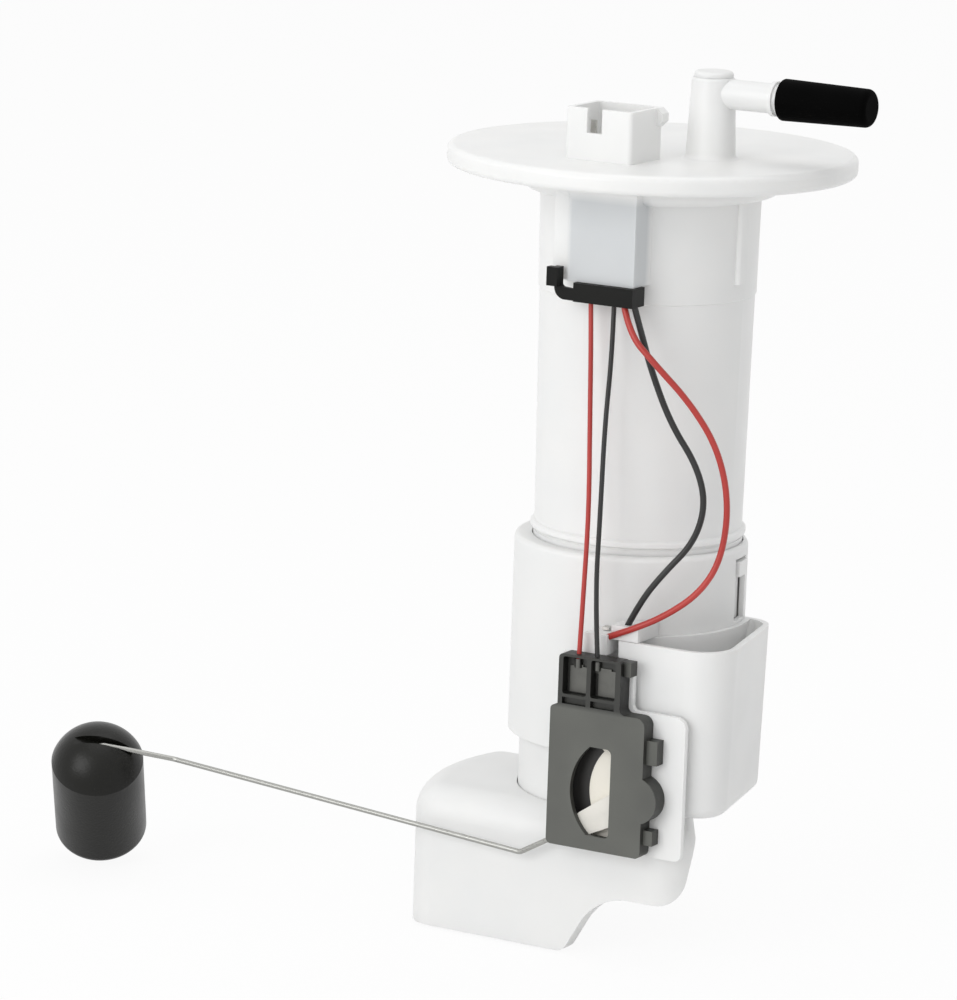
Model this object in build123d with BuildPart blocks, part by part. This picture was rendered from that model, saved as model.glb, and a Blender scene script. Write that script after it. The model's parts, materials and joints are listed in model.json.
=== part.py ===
"""Fuel pump module of a small vehicle, millimetres, +Z up.

The origin is the centre of the flange's underside, the face that seats on the tank. The module hangs
below it. X runs along the level sender's width, and the sender's face looks towards -Y.
"""

from build123d import *
from math import atan, atan2, cos, degrees, hypot, pi, radians, sin, sqrt, tan
import os

os.makedirs("parts", exist_ok=True)

# ------------------------------------------------------------------ driving sizes
# Flange cover: disc, spigot ring, tapered tube, connector shroud, socket and outlet elbow
FLANGE_RADIUS = 54.5
FLANGE_THICKNESS = 5.4
FLANGE_EDGE = 1.7
SPIGOT_HEIGHT = 5.6
SPIGOT_EDGE = 2.8
TUBE_RADIUS = 29.4
TUBE_WALL = 4.0
SPIGOT_RADIUS = TUBE_RADIUS + 5.3
TUBE_TAPER = 0.0129
TUBE_STEP_Z = -32.0
TUBE_STEP = 0.35
TUBE_SHOULDER_Z = -98.0
RIM_COLLAR_HEIGHT = 1.8
BEAD_Z = -95.2
BEAD_HEIGHT = 1.8
BEAD_WIDTH = 1.0
SEAT_LENGTH = 11.0
CHAMBER_RADIUS = TUBE_RADIUS - TUBE_WALL
SEAT_RADIUS = CHAMBER_RADIUS + 1.8
CHAMBER_TOP_Z = -1.0
RIB_WIDTH = 4.6
RIB_PROUD = 1.1
RIB_END_Z = -27.5
RIB_ANGLE = -6.0

SHROUD_LEFT_X = -7.8
SHROUD_RIGHT_X = 11.8
SHROUD_FRONT_Y = -34.0
SHROUD_BACK_Y = -17.0
SHROUD_TOP_Z = 19.0
SHROUD_WALL = 1.4
SHROUD_FLOOR = 1.2
KEYWAY_WIDTH = 4.4
KEYWAY_DEPTH = 6.4

SOCKET_LEFT_X = -5.3
SOCKET_RIGHT_X = 14.4
SOCKET_FRONT_Y = -(TUBE_RADIUS + 5.2)
SOCKET_BOTTOM_Z = -26.5
SOCKET_WALL = 1.4
SOCKET_SLOT_DEPTH = 3.2
SOCKET_SLOT_HEIGHT = 17.5
WING_LEFT_X = -10.3
WING_SETBACK = 1.2

BLADE_COUNT = 4
BLADE_PITCH = 4.0
BLADE_WIDTH = 1.5
BLADE_THICKNESS = 0.64
BLADE_TOP_Z = 15.0
BLADE_JOG_Z = 2.4
BLADE_BOTTOM_Z = -17.0

ELBOW_X = CHAMBER_RADIUS - 5.0
ELBOW_Y = -6.0
ELBOW_BASE_RADIUS = 6.6
ELBOW_TOP_RADIUS = 5.7
ELBOW_TOP_Z = 26.8
ELBOW_BORE = 3.2
NIPPLE_Z = 22.6
NIPPLE_RADIUS = 3.95
NIPPLE_BORE = 2.6
NIPPLE_TIP_X = ELBOW_X + 37.6
COLLAR_X = ELBOW_X + 17.8
COLLAR_WIDTH = 1.2
COLLAR_RADIUS = 4.6
BARB_RADIUS = 4.2
BARB_LENGTH = 3.0
PLUG_DISC_HEIGHT = 1.5

# Rubber cap on the outlet nipple
CAP_GAP = 1.6
CAP_LENGTH = 25.6
CAP_MOUTH_RADIUS = 5.5
CAP_END_RADIUS = 5.0
CAP_END_WALL = 3.5
CAP_EDGE = 1.6

# Fits
RUNNING_CLEARANCE = 0.05
LOOSE_CLEARANCE = 0.15
SLIP_CLEARANCE = 0.3

# Lower housing
HOUSING_BORE = SEAT_RADIUS + 1.2
HOUSING_WALL = 3.0
HOUSING_RADIUS = HOUSING_BORE + HOUSING_WALL
HOUSING_SHIFT_X = -1.4
HOUSING_SHIFT_Y = -0.8
HOUSING_FRONT_Y = HOUSING_SHIFT_Y - HOUSING_RADIUS
HOUSING_STEP_Z = -153.0
HOUSING_BASE_Z = -166.0
PILLAR_RADIUS = HOUSING_BORE + 1.4
PILLAR_WALL = 2.0
NECK_BOTTOM_Z = -180.0
NECK_BACK_Y = 13.0
NECK_SETBACK = 4.0
SNAP_WIDTH = 8.0
SNAP_HEIGHT = 20.0
SNAP_ANGLES = (8.0, 172.0)

# Bracket plate of the lower housing, which carries the level sender
BRACKET_STANDOFF = 4.4
BRACKET_BACK_Y = HOUSING_FRONT_Y - BRACKET_STANDOFF
BRACKET_THICKNESS = 1.6
BRACKET_LEFT_X = -1.5
BRACKET_RIGHT_X = 37.0
BRACKET_TOP_Z = -137.3
BRACKET_BOTTOM_Z = -176.0
BRACKET_TAB_RIGHT_X = 21.0
BRACKET_TAB_TOP_Z = -124.4
STANDOFF_WIDTH = 1.8

# Open side pot
POT_RIM_Z = -120.0
POT_DEPTH = 45.5
POT_WALL = 1.6
POT_DRAFT = 1.5
POT_FRONT_Y = BRACKET_BACK_Y + 1.2
POT_LEFT_X = 14.6
POT_RIGHT_X = HOUSING_RADIUS + 15.0
POT_BACK_X = HOUSING_RADIUS + 5.0
POT_BACK_Y = 11.4
POT_CORNER = 10.0

# Reservoir foot
FOOT_FRONT_Y = BRACKET_BACK_Y + 0.1
FOOT_BACK_Y = 17.0
FOOT_END_RADIUS = PILLAR_RADIUS + 22.2
FOOT_END_X = -3.0
FOOT_END_Y = -5.0
POT_TO_FOOT = 3.0
FOOT_TOP_Z = POT_RIM_Z - POT_DEPTH - POT_TO_FOOT
FOOT_BOTTOM_Z = -206.8
FOOT_WALL = 2.2
FOOT_TOP_EDGE = 8.0
FOOT_CORNER = 9.0
FOOT_STEP_X = 1.65
FOOT_STEP_RUN = 9.85
FOOT_SHELF_Z = -189.6
FOOT_TOE = 3.4
FOOT_SWEEP = 17.0
FOOT_RIGHT_X = PILLAR_RADIUS + 12.4
FOOT_SLANT = 0.5774
FOOT_LEAN = 4.5
FOOT_SHELF_ROUND = 8.0
FOOT_SHELF_REACH = 20.0
SLANT_OUT = (cos(atan(FOOT_SLANT)), sin(atan(FOOT_SLANT)), 0)
SLANT_ALONG = (sin(atan(FOOT_SLANT)), -cos(atan(FOOT_SLANT)), 0)
FOOT_BAND = 5.2
FLOOR_INSET = 1.4
FLOOR_THICKNESS = 2.4
INTAKE_SLOTS = 7
INTAKE_PITCH = 4.0

# Level sender
SENDER_BACK_Y = BRACKET_BACK_Y - BRACKET_THICKNESS
SENDER_FRONT_Y = SENDER_BACK_Y - 5.0
SENDER_PLATE = 1.6
SENDER_LEFT_X = -0.8
SENDER_RIGHT_X = 27.5
SENDER_BOTTOM_Z = -175.6
SENDER_SHOULDER_Z = -137.8
SENDER_NECK_LEFT_X = 1.3
SENDER_NECK_RIGHT_X = 19.9
SENDER_TOP_Z = -123.7
PIVOT_X = 25.3
PIVOT_Z = -160.0
BOSS_RADIUS = 6.4
WINDOW_LEFT_X = 6.0
WINDOW_RIGHT_X = 17.9
WINDOW_TOP_Z = -147.6
WINDOW_BOTTOM_Z = -171.6
CARD_THICKNESS = 0.6
CARD_LEFT_MARGIN = 4.0
CARD_RIGHT_MARGIN = 1.7
CARD_BOTTOM_MARGIN = 2.0
CARD_TOP_MARGIN = 6.6

# Float arm and float
ARM_RADIUS = 0.9
ARM_Y = SENDER_BACK_Y - 2.2
ARM_BEND = (-10.0, -180.4)
ARM_KINK = (-120.4, -172.4)
TRUNNION_RADIUS = 2.5
FLOAT_RADIUS = 12.7
FLOAT_BODY = 31.0
FLOAT_DOME = 9.0
FLOAT_EDGE = 2.5
FLOAT_SLOT = 2.6
FLOAT_SLOT_DEPTH = 2.6
ARM_DEPTH_IN_FLOAT = 1.7

# Wires
SENDER_WIRE_RADIUS = 0.65
PUMP_WIRE_RADIUS = 0.85
WIRE_GRIP = 2.0

# Pump, filter and regulator inside
INLET_X = -12.5
INLET_Y = -6.0
INLET_RADIUS = 3.0
INLET_BORE = 2.0
TERMINAL_Z = -118.0
PUMP_RADIUS = 19.0
PUMP_TOP_Z = -112.0
PUMP_BOTTOM_Z = -150.0
PUMP_SHELL = 1.2
SHAFT_RADIUS = 1.5
IMPELLER_RADIUS = 15.5
IMPELLER_THICKNESS = 3.6
IMPELLER_BLADES = 31
FILTER_TOP_Z = -32.0
FILTER_BOTTOM_Z = -84.0
FILTER_OUTER = CHAMBER_RADIUS - 1.2
FILTER_INNER = 14.0
FILTER_PLEATS = 32
PAPER_THICKNESS = 0.7
REGULATOR_RADIUS = 6.4
REGULATOR_REACH = CHAMBER_RADIUS - REGULATOR_RADIUS - 2.5
REGULATOR_X = 0.85 * REGULATOR_REACH
REGULATOR_Y = 0.52 * REGULATOR_REACH
REGULATOR_TOP_Z = -87.5
REGULATOR_BOTTOM_Z = -104.0


def save(part, label):
    """Label a finished piece and write it as its own STEP file."""
    part.label = label
    export_step(part, f"parts/{label}.step")


def tube_radius(height):
    """Outside radius of the tapered tube at a height below the flange."""
    step = TUBE_STEP if height < TUBE_STEP_Z else 0.0
    return TUBE_RADIUS + TUBE_TAPER * (height + SPIGOT_HEIGHT) - step


# ------------------------------------------------------------------ connector blades
BLADE_MIDDLE_X = (SHROUD_LEFT_X + SHROUD_RIGHT_X) / 2
SHROUD_MIDDLE_Y = (SHROUD_FRONT_Y + SHROUD_BACK_Y) / 2
SLOT_MIDDLE_Y = SOCKET_FRONT_Y + SOCKET_WALL + SOCKET_SLOT_DEPTH / 2

with BuildPart() as connector_blades:
    first_blade = BLADE_MIDDLE_X - (BLADE_COUNT - 1) * BLADE_PITCH / 2 - BLADE_WIDTH / 2
    for number in range(BLADE_COUNT):
        with BuildSketch(Plane.YZ.offset(first_blade + number * BLADE_PITCH)):
            with BuildLine() as blade_line:
                Polyline(
                    (SHROUD_MIDDLE_Y, BLADE_TOP_Z),
                    (SHROUD_MIDDLE_Y, BLADE_JOG_Z),
                    (SLOT_MIDDLE_Y, BLADE_JOG_Z),
                    (SLOT_MIDDLE_Y, BLADE_BOTTOM_Z),
                )
            trace(blade_line.line, BLADE_THICKNESS)
        extrude(amount=BLADE_WIDTH)
save(connector_blades.part, "connector_blades")

# ------------------------------------------------------------------ flange cover
shoulder_radius = tube_radius(TUBE_SHOULDER_Z)
seat_end_z = TUBE_SHOULDER_Z - SEAT_LENGTH
nipple_plane = Plane(origin=(ELBOW_X, ELBOW_Y, NIPPLE_Z), x_dir=(1, 0, 0), z_dir=(0, -1, 0))
nipple_reach = NIPPLE_TIP_X - ELBOW_X
collar_start = COLLAR_X - ELBOW_X

with BuildPart() as flange_cover:
    with BuildSketch(Plane.XY):
        Circle(FLANGE_RADIUS)
    extrude(amount=FLANGE_THICKNESS)
    fillet(flange_cover.edges(), FLANGE_EDGE)

    # spigot ring, tapered tube, bead and the seat that enters the lower housing
    with BuildSketch(Plane.XZ):
        with BuildLine():
            FilletPolyline(
                (0, FLANGE_THICKNESS / 2),
                (SPIGOT_RADIUS, FLANGE_THICKNESS / 2),
                (SPIGOT_RADIUS, -SPIGOT_HEIGHT),
                (TUBE_RADIUS, -SPIGOT_HEIGHT),
                (tube_radius(TUBE_STEP_Z), TUBE_STEP_Z),
                (tube_radius(TUBE_STEP_Z) - TUBE_STEP, TUBE_STEP_Z - TUBE_STEP),
                (tube_radius(BEAD_Z), BEAD_Z),
                (tube_radius(BEAD_Z) + BEAD_WIDTH, BEAD_Z - BEAD_HEIGHT * 0.3),
                (tube_radius(BEAD_Z) + BEAD_WIDTH, BEAD_Z - BEAD_HEIGHT),
                (shoulder_radius, BEAD_Z - BEAD_HEIGHT * 1.3),
                (shoulder_radius, TUBE_SHOULDER_Z),
                (HOUSING_BORE - SLIP_CLEARANCE, TUBE_SHOULDER_Z),
                (HOUSING_BORE - SLIP_CLEARANCE, TUBE_SHOULDER_Z - RIM_COLLAR_HEIGHT),
                (SEAT_RADIUS, TUBE_SHOULDER_Z - RIM_COLLAR_HEIGHT),
                (SEAT_RADIUS, seat_end_z),
                (0, seat_end_z),
                radius=[0, 0, SPIGOT_EDGE, 0.8, 0, 0, 0, 0.4, 0.4, 0, 0, 0, 0, 0, 0.8, 0],
                close=True,
            )
        make_face()
    revolve(axis=Axis.Z)

    # rib down the right of the tube
    rib_plane = Plane.XY.rotated((0, 0, RIB_ANGLE)).offset(RIB_END_Z)
    with BuildSketch(rib_plane):
        with Locations((TUBE_RADIUS - RIB_WIDTH / 2 + RIB_PROUD, 0)):
            RectangleRounded(RIB_WIDTH, RIB_WIDTH, 1.0)
    extrude(amount=-RIB_END_Z)

    # socket block below the flange, with a set-back wing on its left
    with BuildSketch(Plane.XY.offset(SOCKET_BOTTOM_Z)):
        Polygon(
            (SOCKET_LEFT_X, SOCKET_FRONT_Y),
            (SOCKET_RIGHT_X, SOCKET_FRONT_Y),
            (SOCKET_RIGHT_X, -CHAMBER_RADIUS),
            (WING_LEFT_X, -CHAMBER_RADIUS),
            (WING_LEFT_X, SOCKET_FRONT_Y + WING_SETBACK),
            (SOCKET_LEFT_X, SOCKET_FRONT_Y + WING_SETBACK),
            align=None,
        )
    extrude(amount=-SOCKET_BOTTOM_Z)

    # connector shroud above the flange, open at the top
    shroud_length = SHROUD_RIGHT_X - SHROUD_LEFT_X
    shroud_depth = SHROUD_BACK_Y - SHROUD_FRONT_Y
    with BuildSketch(Plane.XY.offset(FLANGE_THICKNESS / 2)):
        with Locations((BLADE_MIDDLE_X, SHROUD_MIDDLE_Y)):
            RectangleRounded(shroud_length, shroud_depth, 1.2)
    extrude(amount=SHROUD_TOP_Z - FLANGE_THICKNESS / 2)
    with BuildSketch(Plane.XY.offset(FLANGE_THICKNESS + SHROUD_FLOOR)):
        with Locations((BLADE_MIDDLE_X, SHROUD_MIDDLE_Y)):
            RectangleRounded(shroud_length - 2 * SHROUD_WALL, shroud_depth - 2 * SHROUD_WALL, 0.6)
    extrude(amount=SHROUD_TOP_Z, mode=Mode.SUBTRACT)
    with BuildSketch(Plane.XZ.offset(-SHROUD_FRONT_Y)):
        with Locations((BLADE_MIDDLE_X - 1.2, SHROUD_TOP_Z - KEYWAY_DEPTH / 2)):
            Rectangle(KEYWAY_WIDTH, KEYWAY_DEPTH)
    extrude(amount=-SHROUD_WALL, mode=Mode.SUBTRACT)
    with BuildSketch(Plane.XZ.offset(-SHROUD_BACK_Y)):
        with BuildLine():
            Polyline(
                (SHROUD_RIGHT_X - SHROUD_WALL, SHROUD_TOP_Z),
                (SHROUD_RIGHT_X, SHROUD_TOP_Z),
                (SHROUD_RIGHT_X + 1.6, SHROUD_TOP_Z - 1.4),
                (SHROUD_RIGHT_X + 1.6, SHROUD_TOP_Z - 3.4),
                (SHROUD_RIGHT_X, SHROUD_TOP_Z - 5.0),
                (SHROUD_RIGHT_X - SHROUD_WALL, SHROUD_TOP_Z - 5.0),
                close=True,
            )
        make_face()
    extrude(amount=3.4)

    # elbow riser, and the nipple turned about its own axis
    with BuildSketch(Plane.XZ.offset(-ELBOW_Y)):
        with BuildLine():
            FilletPolyline(
                (ELBOW_X, FLANGE_THICKNESS / 2),
                (ELBOW_X + ELBOW_BASE_RADIUS + 1.4, FLANGE_THICKNESS / 2),
                (ELBOW_X + ELBOW_BASE_RADIUS + 1.4, FLANGE_THICKNESS),
                (ELBOW_X + ELBOW_BASE_RADIUS, FLANGE_THICKNESS + 0.4),
                (ELBOW_X + ELBOW_TOP_RADIUS, ELBOW_TOP_Z),
                (ELBOW_X, ELBOW_TOP_Z),
                radius=[0, 0, 0, 1.2, 0.8, 0],
                close=True,
            )
        make_face()
    revolve(axis=Axis((ELBOW_X, ELBOW_Y, 0), (0, 0, 1)))
    with BuildSketch(nipple_plane):
        with BuildLine():
            Polyline(
                (0, 0),
                (0, NIPPLE_RADIUS),
                (collar_start, NIPPLE_RADIUS),
                (collar_start, COLLAR_RADIUS),
                (collar_start + COLLAR_WIDTH, COLLAR_RADIUS),
                (collar_start + COLLAR_WIDTH, NIPPLE_RADIUS),
                (nipple_reach - BARB_LENGTH - 1.5, NIPPLE_RADIUS),
                (nipple_reach - BARB_LENGTH, BARB_RADIUS),
                (nipple_reach, NIPPLE_RADIUS - 0.6),
                (nipple_reach, 0),
                close=True,
            )
        make_face()
    revolve(axis=Axis((ELBOW_X, ELBOW_Y, NIPPLE_Z), (1, 0, 0)))

    # filter chamber, socket slot and the fuel way through the elbow
    with BuildSketch(Plane.XY.offset(CHAMBER_TOP_Z)):
        Circle(CHAMBER_RADIUS)
    extrude(amount=seat_end_z - CHAMBER_TOP_Z, mode=Mode.SUBTRACT)
    with BuildSketch(Plane.XY.offset(SOCKET_BOTTOM_Z)):
        with Locations(((SOCKET_LEFT_X + SOCKET_RIGHT_X) / 2, SLOT_MIDDLE_Y)):
            Rectangle(SOCKET_RIGHT_X - SOCKET_LEFT_X - 2 * SOCKET_WALL, SOCKET_SLOT_DEPTH)
    extrude(amount=SOCKET_SLOT_HEIGHT, mode=Mode.SUBTRACT)
    with BuildSketch(Plane.XY.offset(CHAMBER_TOP_Z)):
        with Locations((ELBOW_X, ELBOW_Y)):
            Circle(ELBOW_BORE)
    extrude(amount=ELBOW_TOP_Z - CHAMBER_TOP_Z, mode=Mode.SUBTRACT)
    with BuildSketch(Plane.YZ.offset(ELBOW_X)):
        with Locations((ELBOW_Y, NIPPLE_Z)):
            Circle(NIPPLE_BORE)
    extrude(amount=nipple_reach, mode=Mode.SUBTRACT)

    # snap lugs on the seat, which click into the lower housing's windows
    for angle in SNAP_ANGLES:
        lug_plane = Plane.XY.rotated((0, 0, angle)).offset(seat_end_z + 2.0)
        with BuildSketch(lug_plane):
            with Locations((SEAT_RADIUS + 1.3, 0)):
                Rectangle(4.0, SNAP_WIDTH - 2.0)
        extrude(amount=4.0)
    add(connector_blades.part, mode=Mode.SUBTRACT)
save(flange_cover.part, "flange_cover")

# disc that closes the elbow's moulding core hole
with BuildPart() as elbow_plug:
    with BuildSketch(Plane.XZ.offset(-ELBOW_Y)):
        with BuildLine():
            FilletPolyline(
                (ELBOW_X, ELBOW_TOP_Z - 2.0),
                (ELBOW_X + ELBOW_BORE, ELBOW_TOP_Z - 2.0),
                (ELBOW_X + ELBOW_BORE, ELBOW_TOP_Z),
                (ELBOW_X + ELBOW_TOP_RADIUS - 0.5, ELBOW_TOP_Z),
                (ELBOW_X + ELBOW_TOP_RADIUS - 0.5, ELBOW_TOP_Z + PLUG_DISC_HEIGHT),
                (ELBOW_X, ELBOW_TOP_Z + PLUG_DISC_HEIGHT),
                radius=[0, 0, 0, 0, 0.9, 0],
                close=True,
            )
        make_face()
    revolve(axis=Axis((ELBOW_X, ELBOW_Y, 0), (0, 0, 1)))
save(elbow_plug.part, "elbow_plug")

# ------------------------------------------------------------------ rubber cap
cap_start = collar_start + COLLAR_WIDTH + CAP_GAP
cap_bore = BARB_RADIUS + LOOSE_CLEARANCE
with BuildPart() as outlet_cap:
    with BuildSketch(nipple_plane):
        with BuildLine():
            FilletPolyline(
                (cap_start, cap_bore),
                (cap_start, CAP_MOUTH_RADIUS),
                (cap_start + CAP_LENGTH, CAP_END_RADIUS),
                (cap_start + CAP_LENGTH, 0),
                (cap_start + CAP_LENGTH - CAP_END_WALL, 0),
                (cap_start + CAP_LENGTH - CAP_END_WALL, cap_bore),
                radius=[0, 0.5, CAP_EDGE, 0, 0, 0],
                close=True,
            )
        make_face()
    revolve(axis=Axis((ELBOW_X, ELBOW_Y, NIPPLE_Z), (1, 0, 0)))
save(outlet_cap.part, "outlet_cap")

# ------------------------------------------------------------------ wires
PLUG_BOTTOM_Z = -31.6
WIRE_Y = SOCKET_FRONT_Y + 1.4
SENDER_WIRE_Y = SENDER_BACK_Y - 2.6


def arc_radii(points, bend_share=0.45):
    """The largest arc that each corner's two runs allow."""
    radii = []
    for before, corner, after in zip(points, points[1:], points[2:]):
        run_in = Vector(*corner) - Vector(*before)
        run_out = Vector(*after) - Vector(*corner)
        turn = radians(run_in.get_angle(run_out))
        radii.append(bend_share * min(run_in.length, run_out.length) / tan(turn / 2))
    return radii


def between(share):
    """Depth of a sender wire, from the plug (0) to the sender (1)."""
    return WIRE_Y + share * (SENDER_WIRE_Y - WIRE_Y)


def wire(label, points, wire_radius):
    """One insulated wire: straight runs joined by tangent arcs."""
    radii = arc_radii(points)
    with BuildPart() as lead:
        with BuildLine() as route:
            FilletPolyline(*points, radius=radii)
        with BuildSketch(Plane(origin=route.line @ 0, z_dir=route.line % 0)):
            Circle(wire_radius)
        sweep()
    length = sum(edge.length for edge in route.edges())
    expected = pi * wire_radius**2 * length
    smallest = min(radii)
    print(f"{label}: length {length:.1f}, smallest radius {smallest:.1f}, ", end="")
    print(f"volume {lead.part.volume:.1f} of {expected:.1f}")
    save(lead.part, label)
    return lead.part


PLUG_WIRE_TOP_Z = PLUG_BOTTOM_Z + WIRE_GRIP
SENDER_WIRE_END_Z = SENDER_TOP_Z - WIRE_GRIP

sender_red_route = [
    (1.2, between(0.0), PLUG_WIRE_TOP_Z),
    (2.4, between(0.14), -42.7),
    (4.0, between(0.40), -61.9),
    (5.9, between(0.68), -85.8),
    (6.1, between(0.89), -107.3),
    (5.9, between(1.0), SENDER_WIRE_END_Z),
]
sender_black_route = [
    (8.2, between(0.0), PLUG_WIRE_TOP_Z),
    (8.8, between(0.14), -43.8),
    (8.5, between(0.40), -62.9),
    (9.3, between(0.68), -86.4),
    (9.6, between(0.89), -108.4),
    (11.6, between(1.0), SENDER_WIRE_END_Z),
]
pump_red_route = [
    (10.9, HOUSING_FRONT_Y - 1.2, PLUG_WIRE_TOP_Z),
    (14.0, HOUSING_FRONT_Y - 3.6, -37.8),
    (22.2, HOUSING_FRONT_Y - 3.4, -45.3),
    (31.0, HOUSING_FRONT_Y + 0.2, -54.9),
    (37.6, HOUSING_FRONT_Y + 4.2, -66.6),
    (40.6, HOUSING_FRONT_Y + 6.2, -81.1),
    (39.3, HOUSING_FRONT_Y + 5.7, -96.4),
    (34.7, HOUSING_FRONT_Y + 2.7, -105.6),
    (26.5, HOUSING_FRONT_Y - 1.2, -112.3),
    (17.4, HOUSING_FRONT_Y - 4.0, -116.9),
    (9.0, HOUSING_FRONT_Y - 3.2, -120.4),
]
pump_black_route = [
    (13.6, HOUSING_FRONT_Y - 1.0, PLUG_WIRE_TOP_Z),
    (15.9, HOUSING_FRONT_Y - 0.2, -37.6),
    (19.3, HOUSING_FRONT_Y + 0.6, -48.4),
    (24.9, HOUSING_FRONT_Y + 1.6, -61.4),
    (32.3, HOUSING_FRONT_Y + 3.2, -71.9),
    (35.1, HOUSING_FRONT_Y + 3.7, -81.9),
    (32.6, HOUSING_FRONT_Y + 2.7, -92.2),
    (25.2, HOUSING_FRONT_Y + 0.7, -100.9),
    (19.2, HOUSING_FRONT_Y - 0.7, -109.3),
    (15.2, HOUSING_FRONT_Y - 0.4, -117.2),
]
sender_red_wire = wire("sender_red_wire", sender_red_route, SENDER_WIRE_RADIUS)
sender_black_wire = wire("sender_black_wire", sender_black_route, SENDER_WIRE_RADIUS)
pump_red_wire = wire("pump_red_wire", pump_red_route, PUMP_WIRE_RADIUS)
pump_black_wire = wire("pump_black_wire", pump_black_route, PUMP_WIRE_RADIUS)
wires = [sender_red_wire, sender_black_wire, pump_red_wire, pump_black_wire]

# ------------------------------------------------------------------ harness plug
PLUG_RIGHT_X = 15.0
PLUG_LEFT_X = -2.6
PLUG_HEIGHT = 5.0
PLUG_DEPTH = 12.0
NOSE_HEIGHT = 12.0
PLUG_FRONT_Y = SOCKET_FRONT_Y - 1.4
LATCH_LEFT_X = -9.6
LATCH_TOP_Z = -22.8
plug_top_z = PLUG_BOTTOM_Z + PLUG_HEIGHT

with BuildPart() as harness_plug:
    with BuildSketch(Plane.XY.offset(PLUG_BOTTOM_Z)):
        with Locations((PLUG_LEFT_X, PLUG_FRONT_Y)):
            Rectangle(PLUG_RIGHT_X - PLUG_LEFT_X, PLUG_DEPTH, align=(Align.MIN, Align.MIN))
        Circle(TUBE_RADIUS + SLIP_CLEARANCE, mode=Mode.SUBTRACT)
        with Locations((PLUG_RIGHT_X, -CHAMBER_RADIUS)):
            Circle(4.0, mode=Mode.SUBTRACT)
    extrude(amount=PLUG_HEIGHT)
    # nose that fills the socket's slot
    with BuildSketch(Plane.XY.offset(plug_top_z)):
        with Locations(((SOCKET_LEFT_X + SOCKET_RIGHT_X) / 2, SLOT_MIDDLE_Y)):
            Rectangle(
                SOCKET_RIGHT_X - SOCKET_LEFT_X - 2 * SOCKET_WALL - 2 * LOOSE_CLEARANCE,
                SOCKET_SLOT_DEPTH - 2 * LOOSE_CLEARANCE,
            )
    extrude(amount=NOSE_HEIGHT)
    # latch lever: a curved foot, and a thumb pad in front of the socket
    with BuildSketch(Plane.XZ.offset(-SOCKET_FRONT_Y)):
        with BuildLine():
            FilletPolyline(
                (PLUG_LEFT_X + 0.5, PLUG_BOTTOM_Z + 0.2),
                (PLUG_LEFT_X + 0.5, PLUG_BOTTOM_Z + 3.2),
                (LATCH_LEFT_X + 3.2, PLUG_BOTTOM_Z + 3.6),
                (LATCH_LEFT_X + 3.2, LATCH_TOP_Z),
                (LATCH_LEFT_X + 1.2, LATCH_TOP_Z),
                (LATCH_LEFT_X + 1.2, PLUG_BOTTOM_Z + 0.2),
                radius=[0, 0, 1.0, 0, 0, 3.2],
                close=True,
            )
        make_face()
    extrude(amount=1.2)
    with BuildSketch(Plane.XZ.offset(-SOCKET_FRONT_Y + 1.2)):
        with Locations((LATCH_LEFT_X, LATCH_TOP_Z)):
            Rectangle(3.2, 5.0, align=(Align.MIN, Align.MAX))
    extrude(amount=2.2)
    for lead in wires:
        add(lead, mode=Mode.SUBTRACT)
    # blade sockets in the nose
    with BuildSketch(Plane.XY.offset(plug_top_z + NOSE_HEIGHT)):
        with Locations((BLADE_MIDDLE_X, SLOT_MIDDLE_Y)):
            with GridLocations(BLADE_PITCH, 0, BLADE_COUNT, 1):
                Rectangle(BLADE_WIDTH + 0.2, BLADE_THICKNESS + 0.2)
    extrude(amount=-6.0, mode=Mode.SUBTRACT)
save(harness_plug.part, "harness_plug")

# ------------------------------------------------------------------ terminals that feed the pump
with BuildPart() as pump_terminals:
    for terminal_x in (8.0, 13.6):
        with BuildSketch(Plane.YZ.offset(terminal_x)):
            with BuildLine() as terminal_line:
                Polyline(
                    (HOUSING_FRONT_Y - 0.4, TERMINAL_Z),
                    (-(HOUSING_BORE - 4.4), TERMINAL_Z),
                    (-(HOUSING_BORE - 4.4), PUMP_TOP_Z + 1.0),
                    (-(PUMP_RADIUS - 7.0), PUMP_TOP_Z + 1.0),
                )
            trace(terminal_line.line, 0.8)
        extrude(amount=2.0)
save(pump_terminals.part, "pump_terminals")

# ------------------------------------------------------------------ lower housing


def slant_x(y, inset=0.0):
    """X of the foot's slanted right side at a depth y."""
    return FOOT_RIGHT_X - inset / cos(atan(FOOT_SLANT)) - FOOT_SLANT * (y - FOOT_FRONT_Y)


def neck_outline(inset):
    """Section of the neck that reaches down into the foot, taken in by inset."""
    far = 3 * PILLAR_RADIUS
    back = NECK_BACK_Y - inset
    Circle(PILLAR_RADIUS - inset)
    Polygon(
        (-far, -far),
        (slant_x(-far, NECK_SETBACK + inset), -far),
        (slant_x(back, NECK_SETBACK + inset), back),
        (-far, back),
        align=None,
        mode=Mode.INTERSECT,
    )


housing_centre = (HOUSING_SHIFT_X, HOUSING_SHIFT_Y)
housing_rim_z = TUBE_SHOULDER_Z - 1.2
housing_height = housing_rim_z - HOUSING_STEP_Z
bracket_middle_z = (BRACKET_TOP_Z + BRACKET_BOTTOM_Z) / 2

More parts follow.
